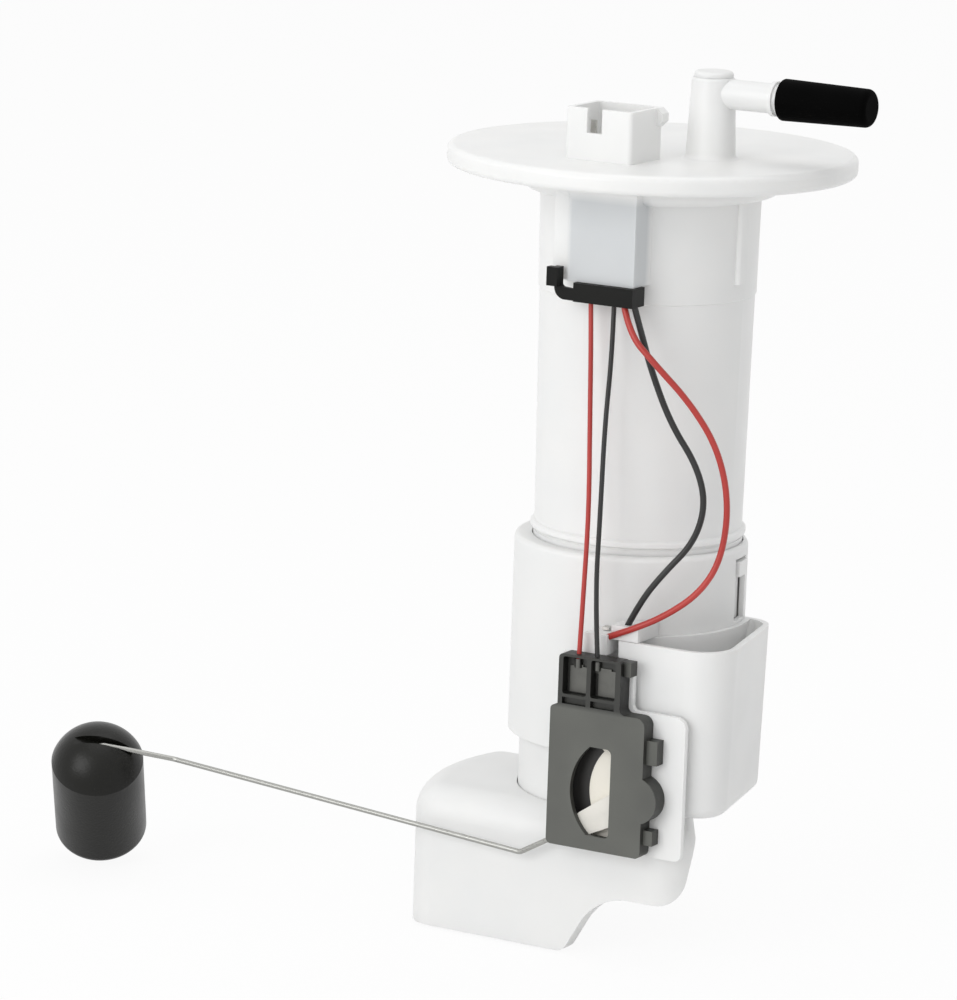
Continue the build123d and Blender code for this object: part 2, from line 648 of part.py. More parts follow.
with BuildPart() as lower_housing:
    with BuildSketch(Plane.XY.offset(HOUSING_STEP_Z)):
        with Locations(housing_centre):
            Circle(HOUSING_RADIUS)
    extrude(amount=housing_height)
    fillet(lower_housing.faces().sort_by(Axis.Z)[-1].edges(), 1.4)
    with BuildSketch(Plane.XY.offset(HOUSING_BASE_Z)):
        Circle(PILLAR_RADIUS)
    extrude(amount=HOUSING_STEP_Z - HOUSING_BASE_Z + 4.0)
    # the neck that reaches down into the reservoir, flat at the back
    with BuildSketch(Plane.XY.offset(NECK_BOTTOM_Z)):
        neck_outline(0.0)
    extrude(amount=HOUSING_BASE_Z - NECK_BOTTOM_Z)
    # bracket plate with a raised rim, on standoffs
    with BuildSketch(Plane.XZ.offset(-BRACKET_BACK_Y)):
        with BuildLine():
            FilletPolyline(
                (BRACKET_LEFT_X, BRACKET_BOTTOM_Z),
                (BRACKET_RIGHT_X, BRACKET_BOTTOM_Z),
                (BRACKET_RIGHT_X, BRACKET_TOP_Z),
                (BRACKET_TAB_RIGHT_X, BRACKET_TOP_Z),
                (BRACKET_TAB_RIGHT_X, BRACKET_TAB_TOP_Z),
                (BRACKET_LEFT_X, BRACKET_TAB_TOP_Z),
                radius=[0.8, 2.0, 3.0, 1.5, 1.0, 1.0],
                close=True,
            )
        make_face()
    extrude(amount=BRACKET_THICKNESS)
    for standoff_x in (2.0, 11.6):
        with BuildSketch(Plane.XY.offset(FOOT_TOP_Z + 1.5)):
            with Locations((standoff_x, BRACKET_BACK_Y)):
                Rectangle(STANDOFF_WIDTH, 12.0, align=(Align.CENTER, Align.MIN))
        extrude(amount=BRACKET_TAB_TOP_Z - FOOT_TOP_Z - 4.0)
    with BuildSketch(Plane.XZ.offset(-POT_FRONT_Y)):
        with Locations((30.0, bracket_middle_z + 6.0)):
            SlotOverall(18.0, 5.0, rotation=90)
    extrude(amount=POT_FRONT_Y - BRACKET_BACK_Y)
    # bore, closed floor and the way down the neck
    with BuildSketch(Plane.XY.offset(housing_rim_z)):
        Circle(HOUSING_BORE)
    extrude(amount=-(housing_rim_z - HOUSING_STEP_Z - 2.0), mode=Mode.SUBTRACT)
    with BuildSketch(Plane.XY.offset(HOUSING_BASE_Z + PILLAR_WALL)):
        Circle(PILLAR_RADIUS - PILLAR_WALL)
    extrude(amount=HOUSING_STEP_Z - HOUSING_BASE_Z + 1.0, mode=Mode.SUBTRACT)
    with BuildSketch(Plane.XY.offset(NECK_BOTTOM_Z)):
        neck_outline(PILLAR_WALL)
    extrude(amount=HOUSING_BASE_Z - NECK_BOTTOM_Z, mode=Mode.SUBTRACT)
    # snap windows
    for angle in SNAP_ANGLES:
        window_plane = Plane.XY.rotated((0, 0, angle)).offset(housing_rim_z - SNAP_HEIGHT)
        with BuildSketch(window_plane):
            with Locations((HOUSING_RADIUS, 0)):
                Rectangle(14.0, SNAP_WIDTH)
        extrude(amount=SNAP_HEIGHT - 3.0, mode=Mode.SUBTRACT)
    # bearing hole for the wiper carrier, and the lead holes
    with BuildSketch(Plane.XZ.offset(-BRACKET_BACK_Y)):
        with Locations((PIVOT_X, PIVOT_Z)):
            Circle(TRUNNION_RADIUS + RUNNING_CLEARANCE)
    extrude(amount=BRACKET_THICKNESS, mode=Mode.SUBTRACT)
    # way through the floor for the pump's inlet stub
    with BuildSketch(Plane.XY.offset(HOUSING_BASE_Z)):
        with Locations((INLET_X, INLET_Y)):
            Circle(INLET_RADIUS + SLIP_CLEARANCE)
    extrude(amount=PILLAR_WALL, mode=Mode.SUBTRACT)
    add(pump_terminals.part, mode=Mode.SUBTRACT)
save(lower_housing.part, "lower_housing")

# ------------------------------------------------------------------ side pot
pot_points = [
    (POT_LEFT_X, POT_FRONT_Y),
    (POT_RIGHT_X, POT_FRONT_Y),
    (POT_BACK_X, POT_BACK_Y),
    (POT_LEFT_X, POT_BACK_Y),
]
with BuildPart() as side_pot:
    with BuildSketch(Plane.XY.offset(POT_RIM_Z)) as pot_outline:
        with BuildLine():
            FilletPolyline(*pot_points, radius=[0, POT_CORNER, 8.0, 0], close=True)
        make_face()
    extrude(amount=POT_DEPTH, dir=(0, 0, -1), taper=POT_DRAFT)
    fillet(side_pot.faces().sort_by(Axis.Z)[0].edges(), 3.0)
    with BuildSketch(Plane.XY.offset(POT_RIM_Z)):
        add(pot_outline.sketch)
        offset(amount=-POT_WALL)
        with Locations(housing_centre):
            Circle(HOUSING_RADIUS + POT_WALL, mode=Mode.SUBTRACT)
    extrude(amount=POT_DEPTH - POT_WALL, dir=(0, 0, -1), taper=POT_DRAFT, mode=Mode.SUBTRACT)
    with BuildSketch(Plane.XY.offset(POT_RIM_Z)):
        with Locations(housing_centre):
            Circle(HOUSING_RADIUS)
    extrude(amount=-2 * POT_DEPTH, mode=Mode.SUBTRACT)
    add(lower_housing.part, mode=Mode.SUBTRACT)
save(side_pot.part, "side_pot")

# ------------------------------------------------------------------ reservoir foot


def foot_form(inset):
    """The foot's outer form, or its hollow when the walls are taken in by inset."""
    front = FOOT_FRONT_Y + inset
    back = FOOT_BACK_Y - inset
    top = FOOT_TOP_Z - inset
    left = FOOT_END_X - FOOT_END_RADIUS
    far = 2 * FOOT_END_RADIUS
    with BuildPart() as form:
        # top view: flat front and back, a round left end, a slanted right side
        with BuildSketch(Plane.XY.offset(FOOT_BOTTOM_Z)) as plan:
            with Locations((FOOT_END_X, FOOT_END_Y)):
                Circle(FOOT_END_RADIUS - inset)
                Rectangle(far, far, align=(Align.MIN, Align.CENTER))
            Polygon(
                (-far, front),
                (slant_x(front, inset), front),
                (slant_x(back, inset), back),
                (-far, back),
                align=None,
                mode=Mode.INTERSECT,
            )
            fillet(plan.vertices(), FOOT_CORNER - inset)
        extrude(amount=top - FOOT_BOTTOM_Z)
        top_face = form.faces().sort_by(Axis.Z)[-1]
        fillet(top_face.edges(), FOOT_TOP_EDGE - inset)
        # front view, with the sump's step up to the shelf on the right
        shelf = FOOT_SHELF_Z + inset
        floor = FOOT_BOTTOM_Z + inset
        with BuildSketch(Plane.XZ.offset(-FOOT_FRONT_Y)):
            with BuildLine():
                FilletPolyline(
                    (-far, floor),
                    (FOOT_STEP_X - inset, floor),
                    (FOOT_STEP_X + FOOT_STEP_RUN - inset, shelf),
                    (far, shelf),
                    (far, FOOT_TOP_Z),
                    (-far, FOOT_TOP_Z),
                    radius=[0, FOOT_TOE - inset / 2, FOOT_SWEEP + inset, 0, 0, 0],
                    close=True,
                )
            make_face()
        extrude(amount=FOOT_FRONT_Y - FOOT_BACK_Y, mode=Mode.INTERSECT)
        # the slanted side leans in towards the shelf, which it meets in a round
        side_plane = Plane(origin=(FOOT_RIGHT_X, FOOT_FRONT_Y, 0), x_dir=SLANT_OUT, z_dir=SLANT_ALONG)
        with BuildSketch(side_plane):
            with BuildLine():
                FilletPolyline(
                    (-far, shelf - far),
                    (-far, FOOT_TOP_Z),
                    (-inset, FOOT_TOP_Z),
                    (-inset - FOOT_LEAN, shelf),
                    (-inset - FOOT_SHELF_REACH, shelf),
                    (-inset - FOOT_SHELF_REACH, shelf - far),
                    radius=[0, 0, 0, FOOT_SHELF_ROUND - inset, 0, 0],
                    close=True,
                )
            make_face()
        extrude(amount=far, both=True, mode=Mode.INTERSECT)
        # behind the front band the deep sump ends on a slant, under the shelf
        band = FOOT_BAND if inset == 0 else 0.0
        with BuildSketch(Plane.XY.offset(FOOT_BOTTOM_Z)):
            Polygon(
                (FOOT_STEP_X - inset, FOOT_FRONT_Y + band),
                (far, FOOT_FRONT_Y + band),
                (far, FOOT_BACK_Y),
                (FOOT_STEP_X - 28.0 - inset, FOOT_BACK_Y),
                align=None,
            )
        extrude(amount=shelf - FOOT_BOTTOM_Z, mode=Mode.SUBTRACT)
    return form.part


foot_outside = foot_form(0)
foot_hollow = foot_form(FOOT_WALL)
with BuildPart() as reservoir_floor:
    with BuildSketch(Plane.XY.offset(FOOT_BOTTOM_Z)) as floor_outline:
        with Locations((FOOT_END_X, FOOT_END_Y)):
            Circle(FOOT_END_RADIUS - FLOOR_INSET)
        Polygon(
            (-2 * FOOT_END_RADIUS, FOOT_FRONT_Y + FLOOR_INSET),
            (FOOT_STEP_X - FLOOR_INSET - FOOT_TOE, FOOT_FRONT_Y + FLOOR_INSET),
            (FOOT_STEP_X - FLOOR_INSET - 28.0, FOOT_BACK_Y - FLOOR_INSET),
            (-2 * FOOT_END_RADIUS, FOOT_BACK_Y - FLOOR_INSET),
            align=None,
            mode=Mode.INTERSECT,
        )
        fillet(floor_outline.vertices(), 4.0)
    extrude(amount=FLOOR_THICKNESS)
    add(foot_outside, mode=Mode.INTERSECT)
    floor_blank = reservoir_floor.part
    with BuildSketch(Plane.XY.offset(FOOT_BOTTOM_Z)):
        with Locations((-28.0, -10.0)):
            with GridLocations(INTAKE_PITCH, 0, INTAKE_SLOTS, 1):
                SlotOverall(22.0, 1.8, rotation=90)
    extrude(amount=FLOOR_THICKNESS, mode=Mode.SUBTRACT)
save(reservoir_floor.part, "reservoir_floor")

with BuildPart() as reservoir:
    add(foot_outside)
    add(foot_hollow, mode=Mode.SUBTRACT)
    add(floor_blank, mode=Mode.SUBTRACT)
    with BuildSketch(Plane.XY.offset(NECK_BOTTOM_Z - 1.0)):
        neck_outline(-SLIP_CLEARANCE)
    extrude(amount=FOOT_TOP_Z - NECK_BOTTOM_Z + 2.0, mode=Mode.SUBTRACT)
save(reservoir.part, "reservoir")

# ------------------------------------------------------------------ plug block for the pump's leads
with BuildPart() as wire_grommet:
    with BuildSketch(Plane.XY.offset(-123.9)):
        with Locations((5.4, HOUSING_FRONT_Y - 5.4)):
            Rectangle(6.8, HOUSING_RADIUS / 2, align=(Align.MIN, Align.MIN))
    extrude(amount=5.3)
    with BuildSketch(Plane.XY.offset(POT_RIM_Z + 0.1)):
        with Locations((12.2, HOUSING_FRONT_Y - 3.0)):
            Rectangle(8.0, HOUSING_RADIUS / 2, align=(Align.MIN, Align.MIN))
    extrude(amount=3.9)
    with BuildSketch(Plane.XY.offset(-126.0)):
        with Locations(housing_centre):
            Circle(HOUSING_RADIUS)
    extrude(amount=14.0, mode=Mode.SUBTRACT)
    add(pump_red_wire, mode=Mode.SUBTRACT)
    add(pump_black_wire, mode=Mode.SUBTRACT)
    add(pump_terminals.part, mode=Mode.SUBTRACT)
save(wire_grommet.part, "wire_grommet")

# ------------------------------------------------------------------ float arm
FLOAT_AXIS = Vector(0.30, -0.53, 0.80).normalized()
ARM_RUN = Vector(-0.848, -0.525, 0.18).normalized()
ARM_RUN_LENGTH = 22.0
ARM_START = (22.0, -161.9)
arm_start = Vector(ARM_START[0], ARM_Y, ARM_START[1])
arm_bend = Vector(ARM_BEND[0], ARM_Y, ARM_BEND[1])
arm_kink = Vector(ARM_KINK[0], ARM_Y, ARM_KINK[1])
arm_turn = arm_kink + ARM_RUN * ARM_RUN_LENGTH
arm_end = arm_turn - FLOAT_AXIS * 20.0

with BuildPart() as float_arm:
    with BuildLine() as arm_route:
        FilletPolyline(arm_start, arm_bend, arm_kink, arm_turn, arm_end, radius=[2.6, 3.0, 2.2])
    with BuildSketch(Plane(origin=arm_route.line @ 0, z_dir=arm_route.line % 0)):
        Circle(ARM_RADIUS)
    sweep()
save(float_arm.part, "float_arm")

# ------------------------------------------------------------------ float
float_top = arm_turn + FLOAT_AXIS * ARM_DEPTH_IN_FLOAT
slot_along = (ARM_RUN - FLOAT_AXIS * ARM_RUN.dot(FLOAT_AXIS)).normalized()
slot_up = (FLOAT_AXIS - ARM_RUN * FLOAT_AXIS.dot(ARM_RUN)).normalized()
float_plane = Plane(origin=float_top, x_dir=slot_along, z_dir=slot_along.cross(FLOAT_AXIS))
dome_radius = (FLOAT_RADIUS**2 + FLOAT_DOME**2) / (2 * FLOAT_DOME)
dome_middle = FLOAT_RADIUS / 2
dome_drop = dome_radius - sqrt(dome_radius**2 - dome_middle**2)
float_length = FLOAT_BODY + FLOAT_DOME

with BuildPart() as float_body:
    with BuildSketch(float_plane):
        with BuildLine():
            ThreePointArc((0, 0), (dome_middle, -dome_drop), (FLOAT_RADIUS, -FLOAT_DOME))
            FilletPolyline(
                (FLOAT_RADIUS, -FLOAT_DOME),
                (FLOAT_RADIUS, -float_length),
                (0, -float_length),
                (0, 0),
                radius=[FLOAT_EDGE, 0],
            )
        make_face()
    revolve(axis=Axis(tuple(float_top), tuple(FLOAT_AXIS)))
    # slot that the arm lies in, parallel to its last run
    slot_floor = arm_turn - slot_up * (ARM_RADIUS + 0.05)
    with BuildSketch(Plane(origin=slot_floor, x_dir=ARM_RUN, z_dir=slot_up)):
        Rectangle(2.4 * FLOAT_RADIUS, FLOAT_SLOT)
    extrude(amount=FLOAT_DOME, mode=Mode.SUBTRACT)
    add(float_arm.part, mode=Mode.SUBTRACT)
save(float_body.part, "float")

# ------------------------------------------------------------------ level sender
CARRIER_FRONT_GAP = 0.1
CARRIER_THICKNESS = 2.2
HUB_RADIUS = 4.7
LEVER_END = (10.0, -168.8)
LEVER_END_RADIUS = 3.2
TRACK_THICKNESS = 0.1
TRACK_RADIUS = 17.5
TRACK_WIDTH = 3.4
plate_back_y = SENDER_FRONT_Y + SENDER_PLATE
carrier_front_y = plate_back_y + CARRIER_FRONT_GAP
carrier_back_y = carrier_front_y + CARRIER_THICKNESS
cavity_depth = SENDER_BACK_Y - plate_back_y
card_front_y = SENDER_BACK_Y - CARD_THICKNESS
terminal_floor_y = SENDER_BACK_Y - 2.2

with BuildPart() as sender_terminals:
    windows = ((sender_red_route[-1][0], 6.15), (sender_black_route[-1][0], 14.65))
    for barrel_x, plate_x in windows:
        with BuildSketch(Plane.XZ.offset(-terminal_floor_y)):
            with Locations((plate_x, -130.6)):
                Rectangle(5.2, 7.0)
            with Locations(((barrel_x + plate_x) / 2, -127.4)):
                Rectangle(abs(plate_x - barrel_x) + 2.4, 1.6)
        extrude(amount=0.5)
        with BuildSketch(Plane.XY.offset(-127.4)):
            with Locations((barrel_x, SENDER_WIRE_Y)):
                Circle(SENDER_WIRE_RADIUS + 0.4)
        extrude(amount=2.4)
    add(sender_red_wire, mode=Mode.SUBTRACT)
    add(sender_black_wire, mode=Mode.SUBTRACT)
save(sender_terminals.part, "sender_terminals")

with BuildPart() as sender_housing:
    with BuildSketch(Plane.XZ.offset(-SENDER_BACK_Y)):
        with BuildLine():
            FilletPolyline(
                (SENDER_LEFT_X, SENDER_BOTTOM_Z),
                (SENDER_RIGHT_X, SENDER_BOTTOM_Z),
                (SENDER_RIGHT_X, SENDER_SHOULDER_Z),
                (SENDER_NECK_RIGHT_X, SENDER_SHOULDER_Z),
                (SENDER_NECK_RIGHT_X, SENDER_TOP_Z),
                (SENDER_NECK_LEFT_X, SENDER_TOP_Z),
                (SENDER_NECK_LEFT_X, SENDER_SHOULDER_Z),
                (SENDER_LEFT_X, SENDER_SHOULDER_Z),
                radius=[1.5, 1.5, 2.5, 1.5, 1.2, 1.2, 0.8, 1.2],
                close=True,
            )
        make_face()
        with Locations((PIVOT_X, PIVOT_Z)):
            Circle(BOSS_RADIUS)
    extrude(amount=SENDER_BACK_Y - SENDER_FRONT_Y)
    # clips that hook over the bracket's edge
    with BuildSketch(Plane.XZ.offset(-SENDER_BACK_Y)):
        for clip_z, clip_right, clip_height in ((-147.0, 30.7, 6.5), (-170.0, 30.2, 4.0)):
            with Locations((SENDER_RIGHT_X - 1.0, clip_z)):
                Rectangle(clip_right - SENDER_RIGHT_X + 1.0, clip_height, align=(Align.MIN, Align.CENTER))
        with Locations((SENDER_NECK_RIGHT_X - 1.0, -125.8)):
            Rectangle(3.1, 3.9, align=(Align.MIN, Align.CENTER))
    extrude(amount=cavity_depth)
    # working space behind the face plate, open on the left for the arm
    with BuildSketch(Plane.XZ.offset(-SENDER_BACK_Y)):
        with Locations((SENDER_LEFT_X - 1.0, SENDER_BOTTOM_Z + 1.4)):
            Rectangle(
                SENDER_RIGHT_X - SENDER_LEFT_X - 0.4,
                SENDER_SHOULDER_Z - SENDER_BOTTOM_Z - 3.0,
                align=(Align.MIN, Align.MIN),
            )
        with Locations((PIVOT_X, PIVOT_Z)):
            Circle(HUB_RADIUS + 0.5)
        with Locations((SENDER_LEFT_X - 1.0, SENDER_BOTTOM_Z - 1.0)):
            Rectangle(7.0, 6.0, align=(Align.MIN, Align.MIN))
    extrude(amount=cavity_depth, mode=Mode.SUBTRACT)
    # posts that press the card against the bracket
    with BuildSketch(Plane.XZ.offset(-plate_back_y)):
        with Locations((6.0, -142.0), (16.0, -142.0), (18.2, -172.6)):
            Circle(0.9)
    extrude(amount=-(card_front_y - plate_back_y))
    # window over the card
    with BuildSketch(Plane.XZ.offset(-plate_back_y)) as card_window:
        with BuildLine():
            ThreePointArc(
                (WINDOW_LEFT_X + 5.5, WINDOW_TOP_Z),
                (WINDOW_LEFT_X, (WINDOW_TOP_Z + WINDOW_BOTTOM_Z) / 2),
                (WINDOW_LEFT_X + 5.2, WINDOW_BOTTOM_Z),
            )
            FilletPolyline(
                (WINDOW_LEFT_X + 5.2, WINDOW_BOTTOM_Z),
                (WINDOW_RIGHT_X, WINDOW_BOTTOM_Z),
                (WINDOW_RIGHT_X, WINDOW_TOP_Z),
                (WINDOW_LEFT_X + 5.5, WINDOW_TOP_Z),
                radius=[1.2, 1.5],
            )
        make_face()
    extrude(amount=SENDER_PLATE, mode=Mode.SUBTRACT)
    # blind bearing for the carrier's front trunnion
    with BuildSketch(Plane.XZ.offset(-plate_back_y)):
        with Locations((PIVOT_X, PIVOT_Z)):
            Circle(TRUNNION_RADIUS + RUNNING_CLEARANCE)
    extrude(amount=1.0, mode=Mode.SUBTRACT)
    # terminal windows, and the shallow slots below them
    with BuildSketch(Plane.XZ.offset(-terminal_floor_y)):
        with Locations((6.15, -129.4)):
            RectangleRounded(7.1, 10.1, 0.6)
        with Locations((14.65, -129.4)):
            RectangleRounded(7.3, 10.1, 0.6)
    extrude(amount=terminal_floor_y - SENDER_FRONT_Y, mode=Mode.SUBTRACT)
    with BuildSketch(Plane.XZ.offset(-SENDER_FRONT_Y - 1.4)):
        with Locations((6.15, -136.2), (14.65, -136.2)):
            Rectangle(7.1, 1.8)
    extrude(amount=1.4, mode=Mode.SUBTRACT)
    add(sender_terminals.part, mode=Mode.SUBTRACT)
    add(sender_red_wire, mode=Mode.SUBTRACT)
    add(sender_black_wire, mode=Mode.SUBTRACT)
save(sender_housing.part, "sender_housing")

with BuildPart() as resistor_card:
    with BuildSketch(Plane.XZ.offset(-SENDER_BACK_Y)):
        with Locations((WINDOW_LEFT_X - CARD_LEFT_MARGIN, WINDOW_BOTTOM_Z - CARD_BOTTOM_MARGIN)):
            Rectangle(
                WINDOW_RIGHT_X + CARD_RIGHT_MARGIN - WINDOW_LEFT_X + CARD_LEFT_MARGIN,
                WINDOW_TOP_Z + CARD_TOP_MARGIN - WINDOW_BOTTOM_Z + CARD_BOTTOM_MARGIN,
                align=(Align.MIN, Align.MIN),
            )
    extrude(amount=CARD_THICKNESS)
save(resistor_card.part, "resistor_card")

with BuildPart() as resistor_track:
    with BuildSketch(Plane.XZ.offset(-card_front_y)):
        with BuildLine() as track_line:
            CenterArc((PIVOT_X, PIVOT_Z), TRACK_RADIUS, 138.0, 82.0)
        trace(track_line.line, TRACK_WIDTH)
    extrude(amount=TRACK_THICKNESS)
save(resistor_track.part, "resistor_track")

with BuildPart() as wiper_carrier:
    with BuildSketch(Plane.XZ.offset(-carrier_back_y)):
        with Locations((PIVOT_X, PIVOT_Z)):
            Circle(HUB_RADIUS)
        with Locations(LEVER_END):
            Circle(LEVER_END_RADIUS)
        make_hull()
    extrude(amount=CARRIER_THICKNESS)
    with BuildSketch(Plane.XZ.offset(-carrier_front_y)):
        with Locations((PIVOT_X, PIVOT_Z)):
            Circle(TRUNNION_RADIUS)
    extrude(amount=0.9)
    with BuildSketch(Plane.XZ.offset(-carrier_back_y)):
        with Locations((PIVOT_X, PIVOT_Z)):
            Circle(TRUNNION_RADIUS)
    extrude(amount=-(BRACKET_BACK_Y - carrier_back_y))
    add(float_arm.part, mode=Mode.SUBTRACT)
save(wiper_carrier.part, "wiper_carrier")

lever_angle = degrees(atan2(LEVER_END[1] - PIVOT_Z, LEVER_END[0] - PIVOT_X))
with BuildPart() as wiper_contact:
    with BuildSketch(Plane.XZ.offset(-carrier_back_y)):
        for finger_offset in (-1.2, 1.2):
            side_x = -sin(radians(lever_angle)) * finger_offset
            side_z = cos(radians(lever_angle)) * finger_offset
            with BuildLine() as finger_line:
                Line(
                    (
                        PIVOT_X + 11.0 * cos(radians(lever_angle)) + side_x,
                        PIVOT_Z + 11.0 * sin(radians(lever_angle)) + side_z,
                    ),
                    (
                        PIVOT_X + 18.6 * cos(radians(lever_angle)) + side_x,
                        PIVOT_Z + 18.6 * sin(radians(lever_angle)) + side_z,
                    ),
                )
            trace(finger_line.line, 1.2)
        with BuildLine() as strap_line:
            Line(
                (
                    PIVOT_X + 11.0 * cos(radians(lever_angle)) - 1.8 * sin(radians(lever_angle)),
                    PIVOT_Z + 11.0 * sin(radians(lever_angle)) + 1.8 * cos(radians(lever_angle)),
                ),
                (
                    PIVOT_X + 11.0 * cos(radians(lever_angle)) + 1.8 * sin(radians(lever_angle)),
                    PIVOT_Z + 11.0 * sin(radians(lever_angle)) - 1.8 * cos(radians(lever_angle)),
                ),
            )
        trace(strap_line.line, 1.4)
    extrude(amount=-0.2)
    with BuildSketch(Plane.XZ.offset(-carrier_back_y)):
        for tip_radius, tip_offset in ((14.4, -1.2), (17.4, 1.2)):
            tip_x = PIVOT_X + tip_radius * cos(radians(lever_angle)) - tip_offset * sin(radians(lever_angle))
            tip_z = PIVOT_Z + tip_radius * sin(radians(lever_angle)) + tip_offset * cos(radians(lever_angle))
            with Locations((tip_x, tip_z)):
                Circle(0.5)
    extrude(amount=-0.35)
save(wiper_contact.part, "wiper_contact")

# ------------------------------------------------------------------ filter and its chamber


def turned_at(label, centre, points):
    """A solid turned about a vertical axis through centre, from (radius, height) points."""
    x, y = centre
    with BuildPart() as solid:
        with BuildSketch(Plane(origin=(x, y, 0), x_dir=(1, 0, 0), z_dir=(0, -1, 0))):
            with BuildLine():
                Polyline(*points, close=True)
            make_face()
        revolve(axis=Axis((x, y, 0), (0, 0, 1)))
    save(solid.part, label)
    return solid.part


def spring(label, centre, bottom, top, coil_radius, wire_size, turns):
    """A compression spring of square wire between two heights."""
    x, y = centre
    travel = top - bottom - wire_size
    with BuildPart() as coil:
        with BuildLine() as coil_line:
            Helix(
                pitch=travel / turns,
                height=travel,
                radius=coil_radius,
                center=(x, y, bottom + wire_size / 2),
            )
        with BuildSketch(Plane(origin=coil_line.line @ 0, z_dir=coil_line.line % 0)):
            Rectangle(wire_size, wire_size)
        sweep(is_frenet=True)
    save(coil.part, label)
    return coil.part


centre = (0.0, 0.0)
regulator_centre = (REGULATOR_X, REGULATOR_Y)
OUTLET_RADIUS = 4.5
OUTLET_BORE = 3.0
OUTLET_TOP_Z = -86.0
BASE_TOP_Z = -88.0
BASE_THICKNESS = 5.0
CAP_THICKNESS = 2.0

with BuildPart() as filter_element:
    pleat_step = 2 * pi / FILTER_PLEATS
    outer_points = []
    inner_points = []
    for number in range(FILTER_PLEATS):
        ridge = number * pleat_step
        valley = ridge + pleat_step / 2
        outer_points.append((FILTER_OUTER * cos(ridge), FILTER_OUTER * sin(ridge)))
        outer_points.append(((FILTER_INNER + PAPER_THICKNESS) * cos(valley), (FILTER_INNER + PAPER_THICKNESS) * sin(valley)))
        inner_points.append(((FILTER_OUTER - 4 * PAPER_THICKNESS) * cos(ridge), (FILTER_OUTER - 4 * PAPER_THICKNESS) * sin(ridge)))
        inner_points.append((FILTER_INNER * cos(valley), FILTER_INNER * sin(valley)))
    with BuildSketch(Plane.XY.offset(FILTER_BOTTOM_Z)):
        Polygon(*outer_points, align=None)
        Polygon(*inner_points, align=None, mode=Mode.SUBTRACT)
    extrude(amount=FILTER_TOP_Z - FILTER_BOTTOM_Z)
save(filter_element.part, "filter_element")

filter_top_cap = turned_at("filter_top_cap", centre, [
    (0, FILTER_TOP_Z),
    (FILTER_OUTER + 0.4, FILTER_TOP_Z),
    (FILTER_OUTER + 0.4, FILTER_TOP_Z + CAP_THICKNESS),
    (0, FILTER_TOP_Z + CAP_THICKNESS),
])
filter_base_cap = turned_at("filter_base_cap", centre, [
    (OUTLET_BORE, FILTER_BOTTOM_Z),
    (FILTER_OUTER + 0.4, FILTER_BOTTOM_Z),
    (FILTER_OUTER + 0.4, FILTER_BOTTOM_Z - CAP_THICKNESS),
    (OUTLET_BORE, FILTER_BOTTOM_Z - CAP_THICKNESS),
])

with BuildPart() as filter_core:
    with BuildSketch(Plane.XY.offset(FILTER_BOTTOM_Z)):
        Circle(FILTER_INNER - 0.6)
        Circle(FILTER_INNER - 2.0, mode=Mode.SUBTRACT)
    extrude(amount=FILTER_TOP_Z - FILTER_BOTTOM_Z)
    core_middle_z = (FILTER_TOP_Z + FILTER_BOTTOM_Z) / 2
    with BuildSketch(Plane.XZ.offset(2 * FILTER_INNER)):
        with Locations((0, core_middle_z)):
            with GridLocations(0, 12.0, 1, 4):
                Rectangle(6.0, 7.0)
    extrude(amount=-4 * FILTER_INNER, mode=Mode.SUBTRACT)
    with BuildSketch(Plane.YZ.offset(-2 * FILTER_INNER)):
        with Locations((0, core_middle_z)):
            with GridLocations(0, 12.0, 1, 4):
                Rectangle(6.0, 7.0)
    extrude(amount=4 * FILTER_INNER, mode=Mode.SUBTRACT)
save(filter_core.part, "filter_core")

chamber_edge = CHAMBER_RADIUS - 0.1
base_bottom_z = BASE_TOP_Z - BASE_THICKNESS
with BuildPart() as chamber_base:
    with BuildSketch(Plane.XZ):
        with BuildLine():
            Polyline(
                (OUTLET_RADIUS + LOOSE_CLEARANCE, BASE_TOP_Z),
                (chamber_edge, BASE_TOP_Z),
                (chamber_edge, BASE_TOP_Z - 1.5),
                (chamber_edge - 1.7, BASE_TOP_Z - 1.5),
                (chamber_edge - 1.7, BASE_TOP_Z - 3.5),
                (chamber_edge, BASE_TOP_Z - 3.5),
                (chamber_edge, base_bottom_z),
                (OUTLET_RADIUS + LOOSE_CLEARANCE, base_bottom_z),
                (OUTLET_RADIUS + LOOSE_CLEARANCE, BASE_TOP_Z - 3.5),
                (OUTLET_RADIUS + 1.5, BASE_TOP_Z - 3.5),
                (OUTLET_RADIUS + 1.5, BASE_TOP_Z - 1.5),
                (OUTLET_RADIUS + LOOSE_CLEARANCE, BASE_TOP_Z - 1.5),
                close=True,
            )
        make_face()
    revolve(axis=Axis.Z)
    with BuildSketch(Plane.XY.offset(BASE_TOP_Z)):
        with Locations(regulator_centre):
            Circle(REGULATOR_RADIUS)
    extrude(amount=-BASE_THICKNESS, mode=Mode.SUBTRACT)
save(chamber_base.part, "chamber_base")


def seal_ring(label, inner, outer, top, height):
    """A seal ring that fills its groove between two radii."""
    return turned_at(label, centre, [(inner, top - height), (outer, top - height), (outer, top), (inner, top)])


chamber_seal = seal_ring("chamber_seal", chamber_edge - 1.7, CHAMBER_RADIUS, BASE_TOP_Z - 1.5, 2.0)
outlet_seal = seal_ring("outlet_seal", OUTLET_RADIUS, OUTLET_RADIUS + 1.5, BASE_TOP_Z - 1.5, 2.0)
housing_seal = seal_ring("housing_seal", SEAT_RADIUS, HOUSING_BORE, housing_rim_z - 0.8, 1.8)

